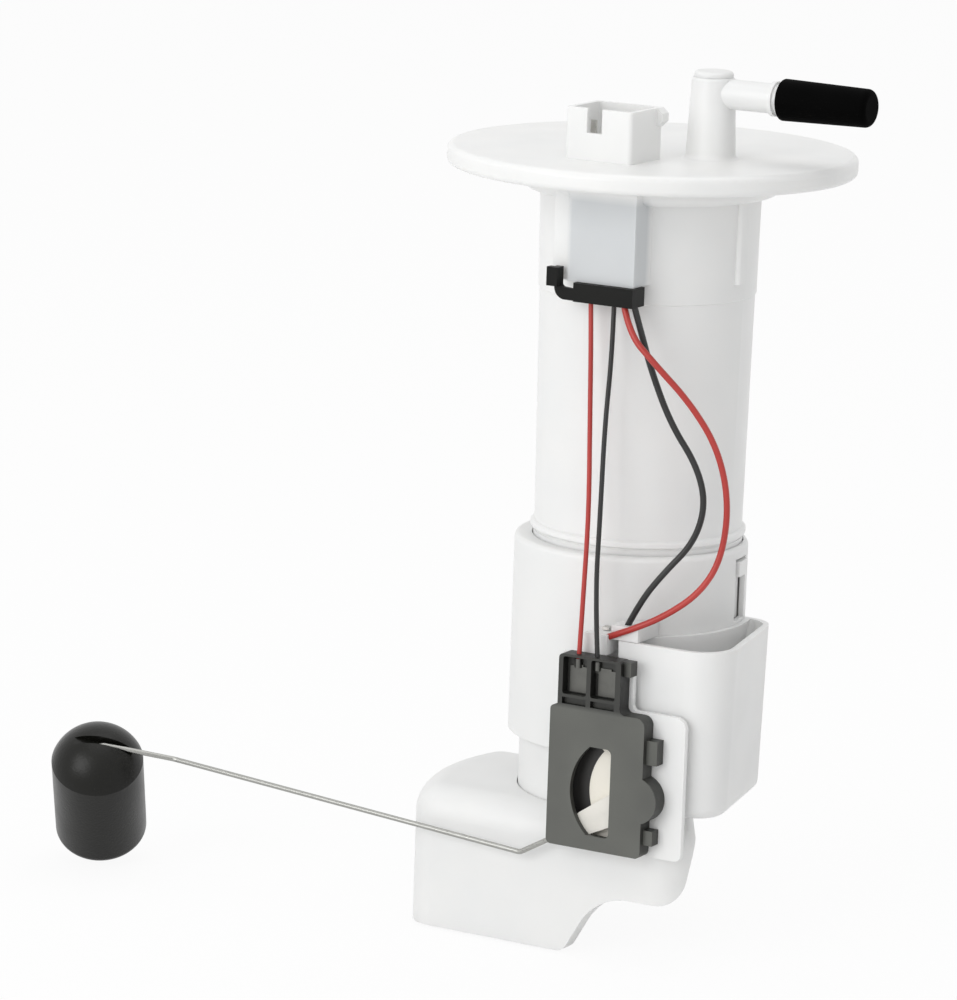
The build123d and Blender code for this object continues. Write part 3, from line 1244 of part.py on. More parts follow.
# ------------------------------------------------------------------ pressure regulator
seat_top_z = REGULATOR_TOP_Z - 0.8
seat_bottom_z = seat_top_z - 2.0
VALVE_HOLE = 1.7
regulator_can = turned_at("regulator_can", regulator_centre, [
    (2.2, REGULATOR_TOP_Z),
    (REGULATOR_RADIUS, REGULATOR_TOP_Z),
    (REGULATOR_RADIUS, REGULATOR_BOTTOM_Z),
    (1.5, REGULATOR_BOTTOM_Z),
    (1.5, REGULATOR_BOTTOM_Z + 0.8),
    (REGULATOR_RADIUS - 0.8, REGULATOR_BOTTOM_Z + 0.8),
    (REGULATOR_RADIUS - 0.8, seat_top_z),
    (2.2, seat_top_z),
])
regulator_seat = turned_at("regulator_seat", regulator_centre, [
    (VALVE_HOLE, seat_top_z),
    (REGULATOR_RADIUS - 0.8, seat_top_z),
    (REGULATOR_RADIUS - 0.8, seat_bottom_z),
    (VALVE_HOLE, seat_bottom_z),
])
regulator_valve = turned_at("regulator_valve", regulator_centre, [
    (0, seat_bottom_z + 0.7),
    (VALVE_HOLE - 0.7, seat_bottom_z + 0.7),
    (VALVE_HOLE - 0.05, seat_bottom_z - 0.05),
    (VALVE_HOLE + 0.5, seat_bottom_z - 0.7),
    (REGULATOR_RADIUS - 1.4, seat_bottom_z - 0.7),
    (REGULATOR_RADIUS - 1.4, seat_bottom_z - 1.7),
    (VALVE_HOLE, seat_bottom_z - 1.7),
    (VALVE_HOLE, seat_bottom_z - 3.7),
    (0, seat_bottom_z - 3.7),
])
regulator_spring = spring(
    "regulator_spring",
    regulator_centre,
    REGULATOR_BOTTOM_Z + 0.8,
    seat_bottom_z - 1.7,
    3.4,
    0.6,
    5,
)

# ------------------------------------------------------------------ pump
can_bore = PUMP_RADIUS - PUMP_SHELL
can_bottom_z = PUMP_BOTTOM_Z - 9.0
casing_top_z = PUMP_BOTTOM_Z + 3.6
casing_bottom_z = PUMP_BOTTOM_Z - 0.4
impeller_top_z = casing_bottom_z - 0.1
impeller_bottom_z = impeller_top_z - IMPELLER_THICKNESS
recess_floor_z = impeller_bottom_z - 0.1
cover_bottom_z = can_bottom_z + 1.0
VALVE_SEAT_Z = PUMP_TOP_Z + 11.0
VALVE_SEAT_BORE = 1.8
shaft_hole = SHAFT_RADIUS + RUNNING_CLEARANCE

pump_can = turned_at("pump_can", centre, [
    (PUMP_RADIUS, PUMP_TOP_Z),
    (PUMP_RADIUS, can_bottom_z),
    (can_bore - 0.8, can_bottom_z),
    (can_bore - 0.8, cover_bottom_z),
    (can_bore, cover_bottom_z),
    (can_bore, PUMP_TOP_Z),
])

with BuildPart() as pump_end_cover:
    with BuildSketch(Plane.XZ):
        with BuildLine():
            Polyline(
                (VALVE_SEAT_BORE, PUMP_TOP_Z + 4.0),
                (VALVE_SEAT_BORE, VALVE_SEAT_Z),
                (OUTLET_BORE, VALVE_SEAT_Z),
                (OUTLET_BORE, OUTLET_TOP_Z),
                (OUTLET_RADIUS, OUTLET_TOP_Z),
                (OUTLET_RADIUS, PUMP_TOP_Z + 7.0),
                (PUMP_RADIUS, PUMP_TOP_Z + 7.0),
                (PUMP_RADIUS, PUMP_TOP_Z),
                (can_bore, PUMP_TOP_Z),
                (can_bore, PUMP_TOP_Z - 7.0),
                (can_bore - 4.0, PUMP_TOP_Z - 7.0),
                (can_bore - 4.0, PUMP_TOP_Z),
                (shaft_hole + 2.0, PUMP_TOP_Z),
                (shaft_hole, PUMP_TOP_Z),
                (shaft_hole, PUMP_TOP_Z + 3.0),
                (0, PUMP_TOP_Z + 3.0),
                (0, PUMP_TOP_Z + 4.0),
                close=True,
            )
        make_face()
    revolve(axis=Axis.Z)
    # fuel way past the shaft bearing
    with BuildSketch(Plane.XY.offset(PUMP_TOP_Z)):
        with PolarLocations(3.6, 3):
            Circle(1.0)
    extrude(amount=5.0, mode=Mode.SUBTRACT)
    add(pump_terminals.part, mode=Mode.SUBTRACT)
save(pump_end_cover.part, "pump_end_cover")

rotor_shaft = turned_at("rotor_shaft", centre, [
    (0, PUMP_TOP_Z + 2.9),
    (SHAFT_RADIUS, PUMP_TOP_Z + 2.9),
    (SHAFT_RADIUS, recess_floor_z - 1.5),
    (0, recess_floor_z - 1.5),
])

ARMATURE_RADIUS = 11.6
ARMATURE_TOP_Z = PUMP_TOP_Z - 9.5
ARMATURE_BOTTOM_Z = PUMP_BOTTOM_Z + 8.0
ARMATURE_SLOTS = 8
with BuildPart() as armature:
    with BuildSketch(Plane.XY.offset(ARMATURE_BOTTOM_Z)):
        Circle(ARMATURE_RADIUS)
        Circle(SHAFT_RADIUS, mode=Mode.SUBTRACT)
        with PolarLocations(ARMATURE_RADIUS - 3.0, ARMATURE_SLOTS):
            Rectangle(6.4, 1.6, mode=Mode.SUBTRACT)
    extrude(amount=ARMATURE_TOP_Z - ARMATURE_BOTTOM_Z)
save(armature.part, "armature")

with BuildPart() as armature_windings:
    for winding_z in (ARMATURE_TOP_Z, ARMATURE_BOTTOM_Z - 2.4):
        with BuildSketch(Plane.XY.offset(winding_z)):
            Circle(ARMATURE_RADIUS - 1.2)
            Circle(SHAFT_RADIUS + 2.6, mode=Mode.SUBTRACT)
        extrude(amount=2.4)
    with BuildSketch(Plane.XY.offset(ARMATURE_BOTTOM_Z)):
        with PolarLocations(ARMATURE_RADIUS - 3.6, ARMATURE_SLOTS):
            Rectangle(4.4, 1.6)
    extrude(amount=ARMATURE_TOP_Z - ARMATURE_BOTTOM_Z)
save(armature_windings.part, "armature_windings")

COMMUTATOR_RADIUS = 5.0
with BuildPart() as commutator:
    with BuildSketch(Plane.XY.offset(ARMATURE_TOP_Z + 2.6)):
        Circle(COMMUTATOR_RADIUS)
        Circle(SHAFT_RADIUS, mode=Mode.SUBTRACT)
        with PolarLocations(COMMUTATOR_RADIUS, ARMATURE_SLOTS):
            Rectangle(1.2, 0.4, mode=Mode.SUBTRACT)
    extrude(amount=5.4)
save(commutator.part, "commutator")

with BuildPart() as brushes:
    with BuildSketch(Plane.XY.offset(ARMATURE_TOP_Z + 4.0)):
        with PolarLocations((COMMUTATOR_RADIUS + can_bore - 4.0) / 2, 2):
            Rectangle(can_bore - 4.0 - COMMUTATOR_RADIUS - 2 * SLIP_CLEARANCE, 4.0)
    extrude(amount=3.2)
save(brushes.part, "brushes")

with BuildPart() as magnets:
    with BuildSketch(Plane.XY.offset(ARMATURE_BOTTOM_Z - 1.5)):
        Circle(can_bore)
        Circle(ARMATURE_RADIUS + 0.6, mode=Mode.SUBTRACT)
        Rectangle(3 * PUMP_RADIUS, 8.0, mode=Mode.SUBTRACT)
    extrude(amount=ARMATURE_TOP_Z - ARMATURE_BOTTOM_Z + 3.0 - 0.6)
save(magnets.part, "magnets")

with BuildPart() as pump_casing:
    with BuildSketch(Plane.XY.offset(casing_bottom_z)):
        Circle(can_bore)
        Circle(shaft_hole, mode=Mode.SUBTRACT)
        with Locations((IMPELLER_RADIUS - 2.0, 0)):
            Circle(1.8, mode=Mode.SUBTRACT)
    extrude(amount=casing_top_z - casing_bottom_z)
save(pump_casing.part, "pump_casing")

with BuildPart() as impeller:
    with BuildSketch(Plane.XY.offset(impeller_bottom_z)):
        Circle(IMPELLER_RADIUS)
        Circle(SHAFT_RADIUS, mode=Mode.SUBTRACT)
        with PolarLocations(IMPELLER_RADIUS - 1.2, IMPELLER_BLADES):
            Rectangle(2.6, 1.8, mode=Mode.SUBTRACT)
    extrude(amount=IMPELLER_THICKNESS)
save(impeller.part, "impeller")

with BuildPart() as pump_inlet_cover:
    with BuildSketch(Plane.XY.offset(cover_bottom_z)):
        Circle(can_bore)
    extrude(amount=casing_bottom_z - cover_bottom_z)
    with BuildSketch(Plane.XY.offset(recess_floor_z)):
        Circle(IMPELLER_RADIUS + SLIP_CLEARANCE)
    extrude(amount=casing_bottom_z - recess_floor_z, mode=Mode.SUBTRACT)
    with BuildSketch(Plane.XY.offset(recess_floor_z - 2.0)):
        Circle(shaft_hole)
    extrude(amount=2.0, mode=Mode.SUBTRACT)
    with BuildSketch(Plane.XY.offset(cover_bottom_z)):
        with Locations((INLET_X, INLET_Y)):
            Circle(INLET_RADIUS)
    extrude(amount=HOUSING_BASE_Z - 8.0 - cover_bottom_z)
    with BuildSketch(Plane.XY.offset(recess_floor_z)):
        with Locations((INLET_X, INLET_Y)):
            Circle(INLET_BORE)
    extrude(amount=HOUSING_BASE_Z - 8.0 - recess_floor_z, mode=Mode.SUBTRACT)
save(pump_inlet_cover.part, "pump_inlet_cover")

with BuildPart() as pump_isolator:
    with BuildSketch(Plane.XY.offset(HOUSING_BASE_Z + PILLAR_WALL)):
        Circle(PUMP_RADIUS + 2.5)
        with PolarLocations((PUMP_RADIUS + PILLAR_RADIUS - PILLAR_WALL) / 2, 6):
            Rectangle(PILLAR_RADIUS - PILLAR_WALL - PUMP_RADIUS - 0.8, 6.0)
    extrude(amount=can_bottom_z - HOUSING_BASE_Z - PILLAR_WALL)
    with BuildSketch(Plane.XY.offset(can_bottom_z)):
        Circle(PUMP_RADIUS + 2.5)
        Circle(PUMP_RADIUS, mode=Mode.SUBTRACT)
    extrude(amount=6.0)
    with BuildSketch(Plane.XY.offset(HOUSING_BASE_Z + PILLAR_WALL)):
        with Locations((INLET_X, INLET_Y)):
            Circle(INLET_RADIUS)
    extrude(amount=8.0, mode=Mode.SUBTRACT)
save(pump_isolator.part, "pump_isolator")

# ------------------------------------------------------------------ check valve in the pump's outlet
poppet_top_z = VALVE_SEAT_Z + 2.2
retainer_z = OUTLET_TOP_Z - 5.0
check_valve = turned_at("check_valve", centre, [
    (0, VALVE_SEAT_Z - 1.0),
    (VALVE_SEAT_BORE - 0.5, VALVE_SEAT_Z - 1.0),
    (VALVE_SEAT_BORE - 0.3, VALVE_SEAT_Z + 0.05),
    (OUTLET_BORE - 0.5, VALVE_SEAT_Z + 0.05),
    (OUTLET_BORE - 0.5, poppet_top_z),
    (1.0, poppet_top_z),
    (1.0, poppet_top_z + 5.0),
    (0, poppet_top_z + 5.0),
])
check_valve_retainer = turned_at("check_valve_retainer", centre, [
    (1.4, retainer_z),
    (OUTLET_BORE, retainer_z),
    (OUTLET_BORE, retainer_z + 1.0),
    (1.4, retainer_z + 1.0),
])
check_valve_spring = spring("check_valve_spring", centre, poppet_top_z, retainer_z, 1.9, 0.4, 6)

# ------------------------------------------------------------------ strainer in the reservoir
strainer_route = [
    (INLET_X, INLET_Y, HOUSING_BASE_Z - 3.0),
    (INLET_X, INLET_Y, HOUSING_BASE_Z - 11.5),
    (-26.0, -8.0, -189.0),
    (-30.0, -8.0, -199.0),
]
TUBE_OUTER = INLET_RADIUS + 1.0
STRAINER_LENGTH = 24.0
STRAINER_WIDTH = 32.0
STRAINER_CORNER = 8.0
STRAINER_Y = -9.0
with BuildPart() as strainer:
    with BuildSketch(Plane.XY.offset(FOOT_BOTTOM_Z + 4.0)):
        with Locations((FOOT_END_X - FOOT_END_RADIUS + STRAINER_LENGTH / 2 + 6.0, STRAINER_Y)):
            RectangleRounded(STRAINER_LENGTH, STRAINER_WIDTH, STRAINER_CORNER)
    extrude(amount=6.4)
    fillet(strainer.faces().sort_by(Axis.Z)[-1].edges(), 2.6)
    fillet(strainer.faces().sort_by(Axis.Z)[0].edges(), 2.6)
    strainer_blank = strainer.part
    with BuildLine() as strainer_line:
        FilletPolyline(*strainer_route, radius=arc_radii(strainer_route))
    with BuildSketch(Plane(origin=strainer_line.line @ 0, z_dir=strainer_line.line % 0)):
        Circle(TUBE_OUTER)
    sweep(mode=Mode.SUBTRACT)
save(strainer.part, "strainer")

with BuildPart() as strainer_tube:
    with BuildLine() as tube_line:
        FilletPolyline(*strainer_route, radius=arc_radii(strainer_route))
    with BuildSketch(Plane(origin=tube_line.line @ 0, z_dir=tube_line.line % 0)):
        Circle(TUBE_OUTER)
        Circle(INLET_RADIUS, mode=Mode.SUBTRACT)
    sweep()
save(strainer_tube.part, "strainer_tube")
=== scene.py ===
"""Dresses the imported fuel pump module: materials, wires, studio and camera."""

import json
from math import cos, radians, sin

import bpy
from mathutils import Matrix, Vector


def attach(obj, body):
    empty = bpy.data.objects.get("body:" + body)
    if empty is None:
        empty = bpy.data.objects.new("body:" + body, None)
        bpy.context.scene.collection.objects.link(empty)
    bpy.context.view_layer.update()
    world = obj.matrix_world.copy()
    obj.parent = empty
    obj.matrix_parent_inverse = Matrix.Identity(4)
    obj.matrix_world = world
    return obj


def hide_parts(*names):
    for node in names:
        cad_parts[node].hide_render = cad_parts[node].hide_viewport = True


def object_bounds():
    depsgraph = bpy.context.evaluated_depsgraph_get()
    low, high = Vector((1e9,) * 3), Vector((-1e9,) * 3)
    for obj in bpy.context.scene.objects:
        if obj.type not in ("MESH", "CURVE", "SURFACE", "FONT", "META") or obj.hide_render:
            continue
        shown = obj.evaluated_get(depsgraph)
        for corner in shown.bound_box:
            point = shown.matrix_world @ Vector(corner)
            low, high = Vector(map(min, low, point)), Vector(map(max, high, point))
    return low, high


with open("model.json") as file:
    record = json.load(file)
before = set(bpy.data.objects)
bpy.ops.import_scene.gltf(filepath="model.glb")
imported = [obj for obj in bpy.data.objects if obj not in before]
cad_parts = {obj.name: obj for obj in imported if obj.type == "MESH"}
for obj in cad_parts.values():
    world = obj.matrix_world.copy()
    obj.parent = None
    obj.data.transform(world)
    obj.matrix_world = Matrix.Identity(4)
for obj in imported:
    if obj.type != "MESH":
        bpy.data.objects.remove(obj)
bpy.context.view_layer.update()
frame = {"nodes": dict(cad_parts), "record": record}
nodes = frame["nodes"]
MM = 0.001

# ------------------------------------------------------------------ view
# solved from the flange's ellipse and the tube's axis in the photograph
AZIMUTH = radians(30.0)
ELEVATION = radians(11.6)
ROLL = radians(1.93)
FOCAL_PIXELS = 5318.0
DISTANCE = 1.409
IMAGE_WIDTH = 957
IMAGE_HEIGHT = 1000
ORIGIN_PIXEL = (652.2, 168.0)
SENSOR_WIDTH = 36.0
VIEW_LIMIT = 20.0


def make_camera():
    """Perspective camera whose image shows the row's origin at ORIGIN_PIXEL."""
    back = Vector((sin(AZIMUTH) * cos(ELEVATION), -cos(AZIMUTH) * cos(ELEVATION), sin(ELEVATION)))
    level_right = Vector((cos(AZIMUTH), sin(AZIMUTH), 0.0))
    level_up = back.cross(level_right)
    right = level_right * cos(ROLL) + level_up * sin(ROLL)
    up = level_up * cos(ROLL) - level_right * sin(ROLL)
    across = (ORIGIN_PIXEL[0] - IMAGE_WIDTH / 2) / FOCAL_PIXELS * DISTANCE
    above = (IMAGE_HEIGHT / 2 - ORIGIN_PIXEL[1]) / FOCAL_PIXELS * DISTANCE
    place = back * DISTANCE - right * across - up * above
    data = bpy.data.cameras.new("camera")
    data.sensor_width = SENSOR_WIDTH
    data.lens = FOCAL_PIXELS / IMAGE_HEIGHT * data.sensor_width
    data.clip_end = VIEW_LIMIT
    camera = bpy.data.objects.new("camera", data)
    camera.matrix_world = Matrix(
        (
            (right.x, up.x, back.x, place.x),
            (right.y, up.y, back.y, place.y),
            (right.z, up.z, back.z, place.z),
            (0.0, 0.0, 0.0, 1.0),
        )
    )
    bpy.context.collection.objects.link(camera)
    bpy.context.scene.camera = camera


# ------------------------------------------------------------------ material tools
MOTTLE_SCALE = 45.0
GLOSS_SCALE = 70.0
GRAIN_SCALE = 900.0
STREAK_SCALE = 600.0
STREAK_DEPTH = 0.00001
STREAK_SHADE = 0.86
GRAIN_DEPTH = 0.00002
SCATTER_RADIUS = (1.0, 0.98, 0.94)
SCATTER_SCALE = 0.0035
# where a box of painted shade starts and ends to fade, as shares of its half size
REGION_EDGE = (0.82, 1.0)
# how squarely a face looks to the front where its painted shade starts and ends, as a cosine
SIDE_TURN = (0.5, 0.95)


def new_material(name):
    """An empty node material and its Principled shader."""
    material = bpy.data.materials.new(name)
    material.use_nodes = True
    tree = material.node_tree
    return material, tree, tree.nodes["Principled BSDF"]


def noise(tree, scale, detail=3.0, stretch=(1.0, 1.0, 1.0)):
    """Noise in the piece's own coordinates, in features per metre."""
    place = tree.nodes.new("ShaderNodeTexCoord")
    mapping = tree.nodes.new("ShaderNodeMapping")
    mapping.inputs["Scale"].default_value = stretch
    texture = tree.nodes.new("ShaderNodeTexNoise")
    texture.inputs["Scale"].default_value = scale
    texture.inputs["Detail"].default_value = detail
    tree.links.new(place.outputs["Object"], mapping.inputs["Vector"])
    tree.links.new(mapping.outputs["Vector"], texture.inputs["Vector"])
    return texture


def spread(tree, texture, low, high, span=(0.3, 0.7)):
    """Maps a noise's middle span to the range low to high."""
    rescale = tree.nodes.new("ShaderNodeMapRange")
    rescale.inputs["From Min"].default_value = span[0]
    rescale.inputs["From Max"].default_value = span[1]
    rescale.inputs["To Min"].default_value = low
    rescale.inputs["To Max"].default_value = high
    tree.links.new(texture.outputs["Fac"], rescale.inputs["Value"])
    return rescale.outputs["Result"]


def tint(tree, texture, dark, light):
    """Colour between two tints, led by a noise."""
    ramp = tree.nodes.new("ShaderNodeValToRGB")
    ramp.color_ramp.elements[0].position = 0.3
    ramp.color_ramp.elements[0].color = (*dark, 1.0)
    ramp.color_ramp.elements[1].position = 0.7
    ramp.color_ramp.elements[1].color = (*light, 1.0)
    tree.links.new(texture.outputs["Fac"], ramp.inputs["Fac"])
    return ramp.outputs["Color"]


def bump(tree, shader, texture, depth, strength=1.0):
    """Relief from a noise, depth in metres."""
    relief = tree.nodes.new("ShaderNodeBump")
    relief.inputs["Strength"].default_value = strength
    relief.inputs["Distance"].default_value = depth
    tree.links.new(texture.outputs["Fac"], relief.inputs["Height"])
    tree.links.new(relief.outputs["Normal"], shader.inputs["Normal"])


def plastic(name, dark, light, rough, subsurface=0.0, depth=GRAIN_DEPTH, grain=GRAIN_SCALE, level=0.5):
    """Moulded plastic with a faint mottle, uneven gloss and fine grain."""
    material, tree, shader = new_material(name)
    mottle = noise(tree, MOTTLE_SCALE, 2.0)
    tree.links.new(tint(tree, mottle, dark, light), shader.inputs["Base Color"])
    gloss = noise(tree, GLOSS_SCALE)
    tree.links.new(spread(tree, gloss, rough - 0.05, rough + 0.07), shader.inputs["Roughness"])
    bump(tree, shader, noise(tree, grain, 2.0), depth)
    shader.inputs["Specular IOR Level"].default_value = level
    if subsurface:
        shader.inputs["Subsurface Weight"].default_value = subsurface
        shader.inputs["Subsurface Radius"].default_value = SCATTER_RADIUS
        shader.inputs["Subsurface Scale"].default_value = SCATTER_SCALE
    return material


def metal(name, colour, rough, stretch=(1.0, 1.0, 1.0), grain=STREAK_SCALE):
    """Metal with drawn or rolled streaks."""
    material, tree, shader = new_material(name)
    shader.inputs["Metallic"].default_value = 1.0
    dark = tuple(channel * STREAK_SHADE for channel in colour)
    streaks = noise(tree, grain, 3.0, stretch)
    tree.links.new(tint(tree, streaks, dark, colour), shader.inputs["Base Color"])
    tree.links.new(spread(tree, streaks, rough - 0.06, rough + 0.1), shader.inputs["Roughness"])
    bump(tree, shader, streaks, STREAK_DEPTH)
    return material


def overlay(material, factor, colour, blend="MIX"):
    """Blends a colour over a material's base colour, by a factor."""
    tree = material.node_tree
    shader = tree.nodes["Principled BSDF"]
    base = shader.inputs["Base Color"].links[0].from_socket
    mix = tree.nodes.new("ShaderNodeMix")
    mix.data_type = "RGBA"
    mix.blend_type = blend
    mix.inputs["B"].default_value = (*colour, 1.0)
    tree.links.new(factor, mix.inputs["Factor"])
    tree.links.new(base, mix.inputs["A"])
    tree.links.new(mix.outputs["Result"], shader.inputs["Base Color"])


def vector_step(tree, operation, source, operand=None):
    """The outputs of one vector operation on a socket."""
    step = tree.nodes.new("ShaderNodeVectorMath")
    step.operation = operation
    if operand is not None:
        step.inputs[1].default_value = operand
    tree.links.new(source, step.inputs[0])
    return step.outputs


def larger(tree, first, second):
    """The larger of two values."""
    step = tree.nodes.new("ShaderNodeMath")
    step.operation = "MAXIMUM"
    tree.links.new(first, step.inputs[0])
    tree.links.new(second, step.inputs[1])
    return step.outputs["Value"]


def fade(tree, value, start, end):
    """1 up to the start, and down to 0 at the end."""
    edge = tree.nodes.new("ShaderNodeMapRange")
    edge.inputs["From Min"].default_value = start
    edge.inputs["From Max"].default_value = end
    edge.inputs["To Min"].default_value = 1.0
    edge.inputs["To Max"].default_value = 0.0
    tree.links.new(value, edge.inputs["Value"])
    return edge.outputs["Result"]


def shade_region(material, middle, half, shade):
    """Paints shade into a material's colour: multiplies it by a shade inside a soft-edged box."""
    tree = material.node_tree
    place = tree.nodes.new("ShaderNodeTexCoord").outputs["Object"]
    local = vector_step(tree, "SUBTRACT", place, middle)["Vector"]
    scaled = vector_step(tree, "DIVIDE", local, half)["Vector"]
    size = vector_step(tree, "ABSOLUTE", scaled)["Vector"]
    split = tree.nodes.new("ShaderNodeSeparateXYZ")
    tree.links.new(size, split.inputs["Vector"])
    wide = larger(tree, split.outputs["X"], split.outputs["Y"])
    far = larger(tree, wide, split.outputs["Z"])
    overlay(material, fade(tree, far, *REGION_EDGE), shade, "MULTIPLY")


def shade_sides(material, front, shade):
    """Paints shade on the faces that don't look to its front, multiplying a material's colour by a shade.
    """
    tree = material.node_tree
    normal = tree.nodes.new("ShaderNodeTexCoord").outputs["Normal"]
    facing = vector_step(tree, "DOT_PRODUCT", normal, front)["Value"]
    overlay(material, fade(tree, facing, *SIDE_TURN), shade, "MULTIPLY")


def paint_shadow_outside(material, centre, radius, shadow_colour):
    """Paints a shadow colour on a flat card beyond a radius about a centre."""
    tree = material.node_tree
    place = tree.nodes.new("ShaderNodeTexCoord").outputs["Object"]
    flat = vector_step(tree, "MULTIPLY", place, (1.0, 0.0, 1.0))["Vector"]
    reach = vector_step(tree, "DISTANCE", flat, centre)["Value"]
    beyond = tree.nodes.new("ShaderNodeMath")
    beyond.operation = "GREATER_THAN"
    beyond.inputs[1].default_value = radius
    tree.links.new(reach, beyond.inputs[0])
    overlay(material, beyond.outputs["Value"], shadow_colour)


# ------------------------------------------------------------------ materials
natural = plastic("natural_acetal", (0.80, 0.805, 0.80), (0.83, 0.83, 0.82), 0.42, 0.30)
natural_smooth = plastic("natural_cover", (0.82, 0.825, 0.82), (0.85, 0.85, 0.84), 0.34, 0.35)
cap_rubber = plastic(
    "cap_rubber",
    (0.0006, 0.0006, 0.0006),
    (0.0012, 0.0012, 0.0012),
    0.72,
    depth=0.00003,
    level=0.03,
)
black_plastic = plastic(
    "black_nylon",
    (0.003, 0.0034, 0.003),
    (0.006, 0.006, 0.005),
    0.42,
    depth=0.00003,
    level=0.18,
)
grey_plastic = plastic(
    "grey_nylon",
    (0.082, 0.084, 0.076),
    (0.115, 0.118, 0.105),
    0.45,
    depth=0.00005,
    grain=500.0,
)
carrier_plastic = plastic("carrier_acetal", (0.72, 0.70, 0.64), (0.80, 0.78, 0.72), 0.40, 0.1)
float_foam = plastic(
    "float_foam",
    (0.0048, 0.0048, 0.0040),
    (0.0085, 0.0085, 0.0070),
    0.30,
    depth=0.00005,
    grain=1400.0,
    level=0.24,
)
seal_rubber = plastic("seal_rubber", (0.015, 0.015, 0.015), (0.025, 0.025, 0.025), 0.55)
ceramic = plastic("card_ceramic", (0.86, 0.82, 0.72), (0.94, 0.91, 0.83), 0.55, depth=0.00004)
track_ink = plastic("track_ink", (0.012, 0.011, 0.010), (0.02, 0.019, 0.018), 0.4)
filter_paper = plastic("filter_paper", (0.62, 0.50, 0.30), (0.72, 0.60, 0.40), 0.9, depth=0.0001, level=0.2)
mesh_cloth = plastic("strainer_mesh", (0.70, 0.70, 0.65), (0.80, 0.80, 0.76), 0.8, depth=0.0001, level=0.2)
phenolic = plastic("phenolic", (0.16, 0.08, 0.04), (0.24, 0.13, 0.07), 0.5)
carbon = plastic("carbon", (0.02, 0.02, 0.02), (0.05, 0.05, 0.05), 0.5)
ferrite = plastic("ferrite", (0.03, 0.03, 0.03), (0.06, 0.06, 0.06), 0.6)
red_insulation = plastic("red_insulation", (0.40, 0.028, 0.022), (0.48, 0.045, 0.036), 0.34, grain=300.0)
black_insulation = plastic("black_insulation", (0.010, 0.010, 0.010), (0.02, 0.02, 0.02), 0.34, grain=300.0)
arm_steel = metal("arm_steel", (0.40, 0.40, 0.38), 0.30, (1.0, 6.0, 6.0))
can_steel = metal("plated_steel", (0.62, 0.62, 0.62), 0.28, (1.0, 1.0, 0.1))
lamination = metal("lamination_steel", (0.34, 0.34, 0.36), 0.42, (0.1, 0.1, 8.0))
# the sender's terminals in a dark metal tone
terminal_metal = metal("dark_terminal", (0.15, 0.15, 0.14), 0.42)
tinned = metal("tinned_metal", (0.70, 0.69, 0.66), 0.32)
bronze = metal("spring_bronze", (0.72, 0.52, 0.30), 0.3)
copper = metal("copper", (0.72, 0.34, 0.18), 0.34, (0.2, 0.2, 8.0))

FINISHES = {
    "natural_plastic": natural,
    "cap_rubber": cap_rubber,
    "black_plastic": black_plastic,
    "grey_plastic": grey_plastic,
    "carrier_plastic": carrier_plastic,
    "card_ceramic": ceramic,
    "track_ink": track_ink,
    "spring_bronze": bronze,
    "float_foam": float_foam,
    "arm_steel": arm_steel,
    "red_insulation": red_insulation,
    "black_insulation": black_insulation,
    "tinned_metal": tinned,
    "can_steel": can_steel,
    "lamination_steel": lamination,
    "ferrite": ferrite,
    "copper": copper,
    "carbon": carbon,
    "impeller_plastic": phenolic,
    "seal_rubber": seal_rubber,
    "filter_paper": filter_paper,
    "strainer_mesh": mesh_cloth,
}
# pieces whose finish isn't that of their slot's other pieces
NODE_FINISHES = {
    "flange_cover": natural_smooth,
    "sender_terminals": terminal_metal,
}
for subpart in frame["record"]["subparts"]:
    piece = nodes[subpart["node"]]
    finish = FINISHES[subpart["material_slot"]]
    finish = NODE_FINISHES.get(subpart["node"], finish)
    for index in range(max(1, len(piece.material_slots))):
        if index < len(piece.material_slots):
            piece.material_slots[index].material = finish
        else:
            piece.data.materials.append(finish)

# ------------------------------------------------------------------ painted shade
# painted shade on the harness socket, standing in for its hollow seen through the thin walls
SOCKET_SHADE_MIDDLE = (5.0 * MM, -40.0 * MM, -16.0 * MM)
SOCKET_SHADE_HALF = (11.5 * MM, 14.0 * MM, 13.0 * MM)
# painted shade on the frame round the sender's terminals, darker than its face
FRAME_SHADE_MIDDLE = (10.6 * MM, -40.0 * MM, -130.0 * MM)
FRAME_SHADE_HALF = (11.6 * MM, 20.0 * MM, 8.4 * MM)
SENDER_FRONT = (0.0, -1.0, 0.0)

shade_region(natural_smooth, SOCKET_SHADE_MIDDLE, SOCKET_SHADE_HALF, (0.74, 0.76, 0.78))
shade_region(grey_plastic, FRAME_SHADE_MIDDLE, FRAME_SHADE_HALF, (0.26, 0.26, 0.25))
# painted shade on the sender's faces that turn away from its front
shade_sides(grey_plastic, SENDER_FRONT, (0.30, 0.30, 0.29))

# ------------------------------------------------------------------ resistor card
# painted shadow of the window's rim: the card is painted dark beyond this radius about the lever's pivot
PIVOT = (25.3 * MM, 0.0, -160.0 * MM)
CARD_SHADOW_RADIUS = 19.1 * MM
CARD_SHADOW_COLOUR = (0.014, 0.013, 0.012)

paint_shadow_outside(ceramic, PIVOT, CARD_SHADOW_RADIUS, CARD_SHADOW_COLOUR)

# ------------------------------------------------------------------ float arm
# the wire of the arm is a little thinner than its solid
ARM_SLIMMING = 0.2 * MM
slim = nodes["float_arm"].modifiers.new("slim", "DISPLACE")
slim.strength = -ARM_SLIMMING
slim.mid_level = 0.0

# ------------------------------------------------------------------ snap tongues
# degrees about the tube's axis, of the lower housing's two windows
TONGUE_ANGLES = (8.0, 172.0)
TONGUE_RADIUS = 28.0 * MM
TONGUE_THICKNESS = 1.2 * MM
TONGUE_WIDTH = 7.6 * MM
TONGUE_TOP = -108.0 * MM
TONGUE_BOTTOM = -119.4 * MM
TONGUE_STEPS = 8


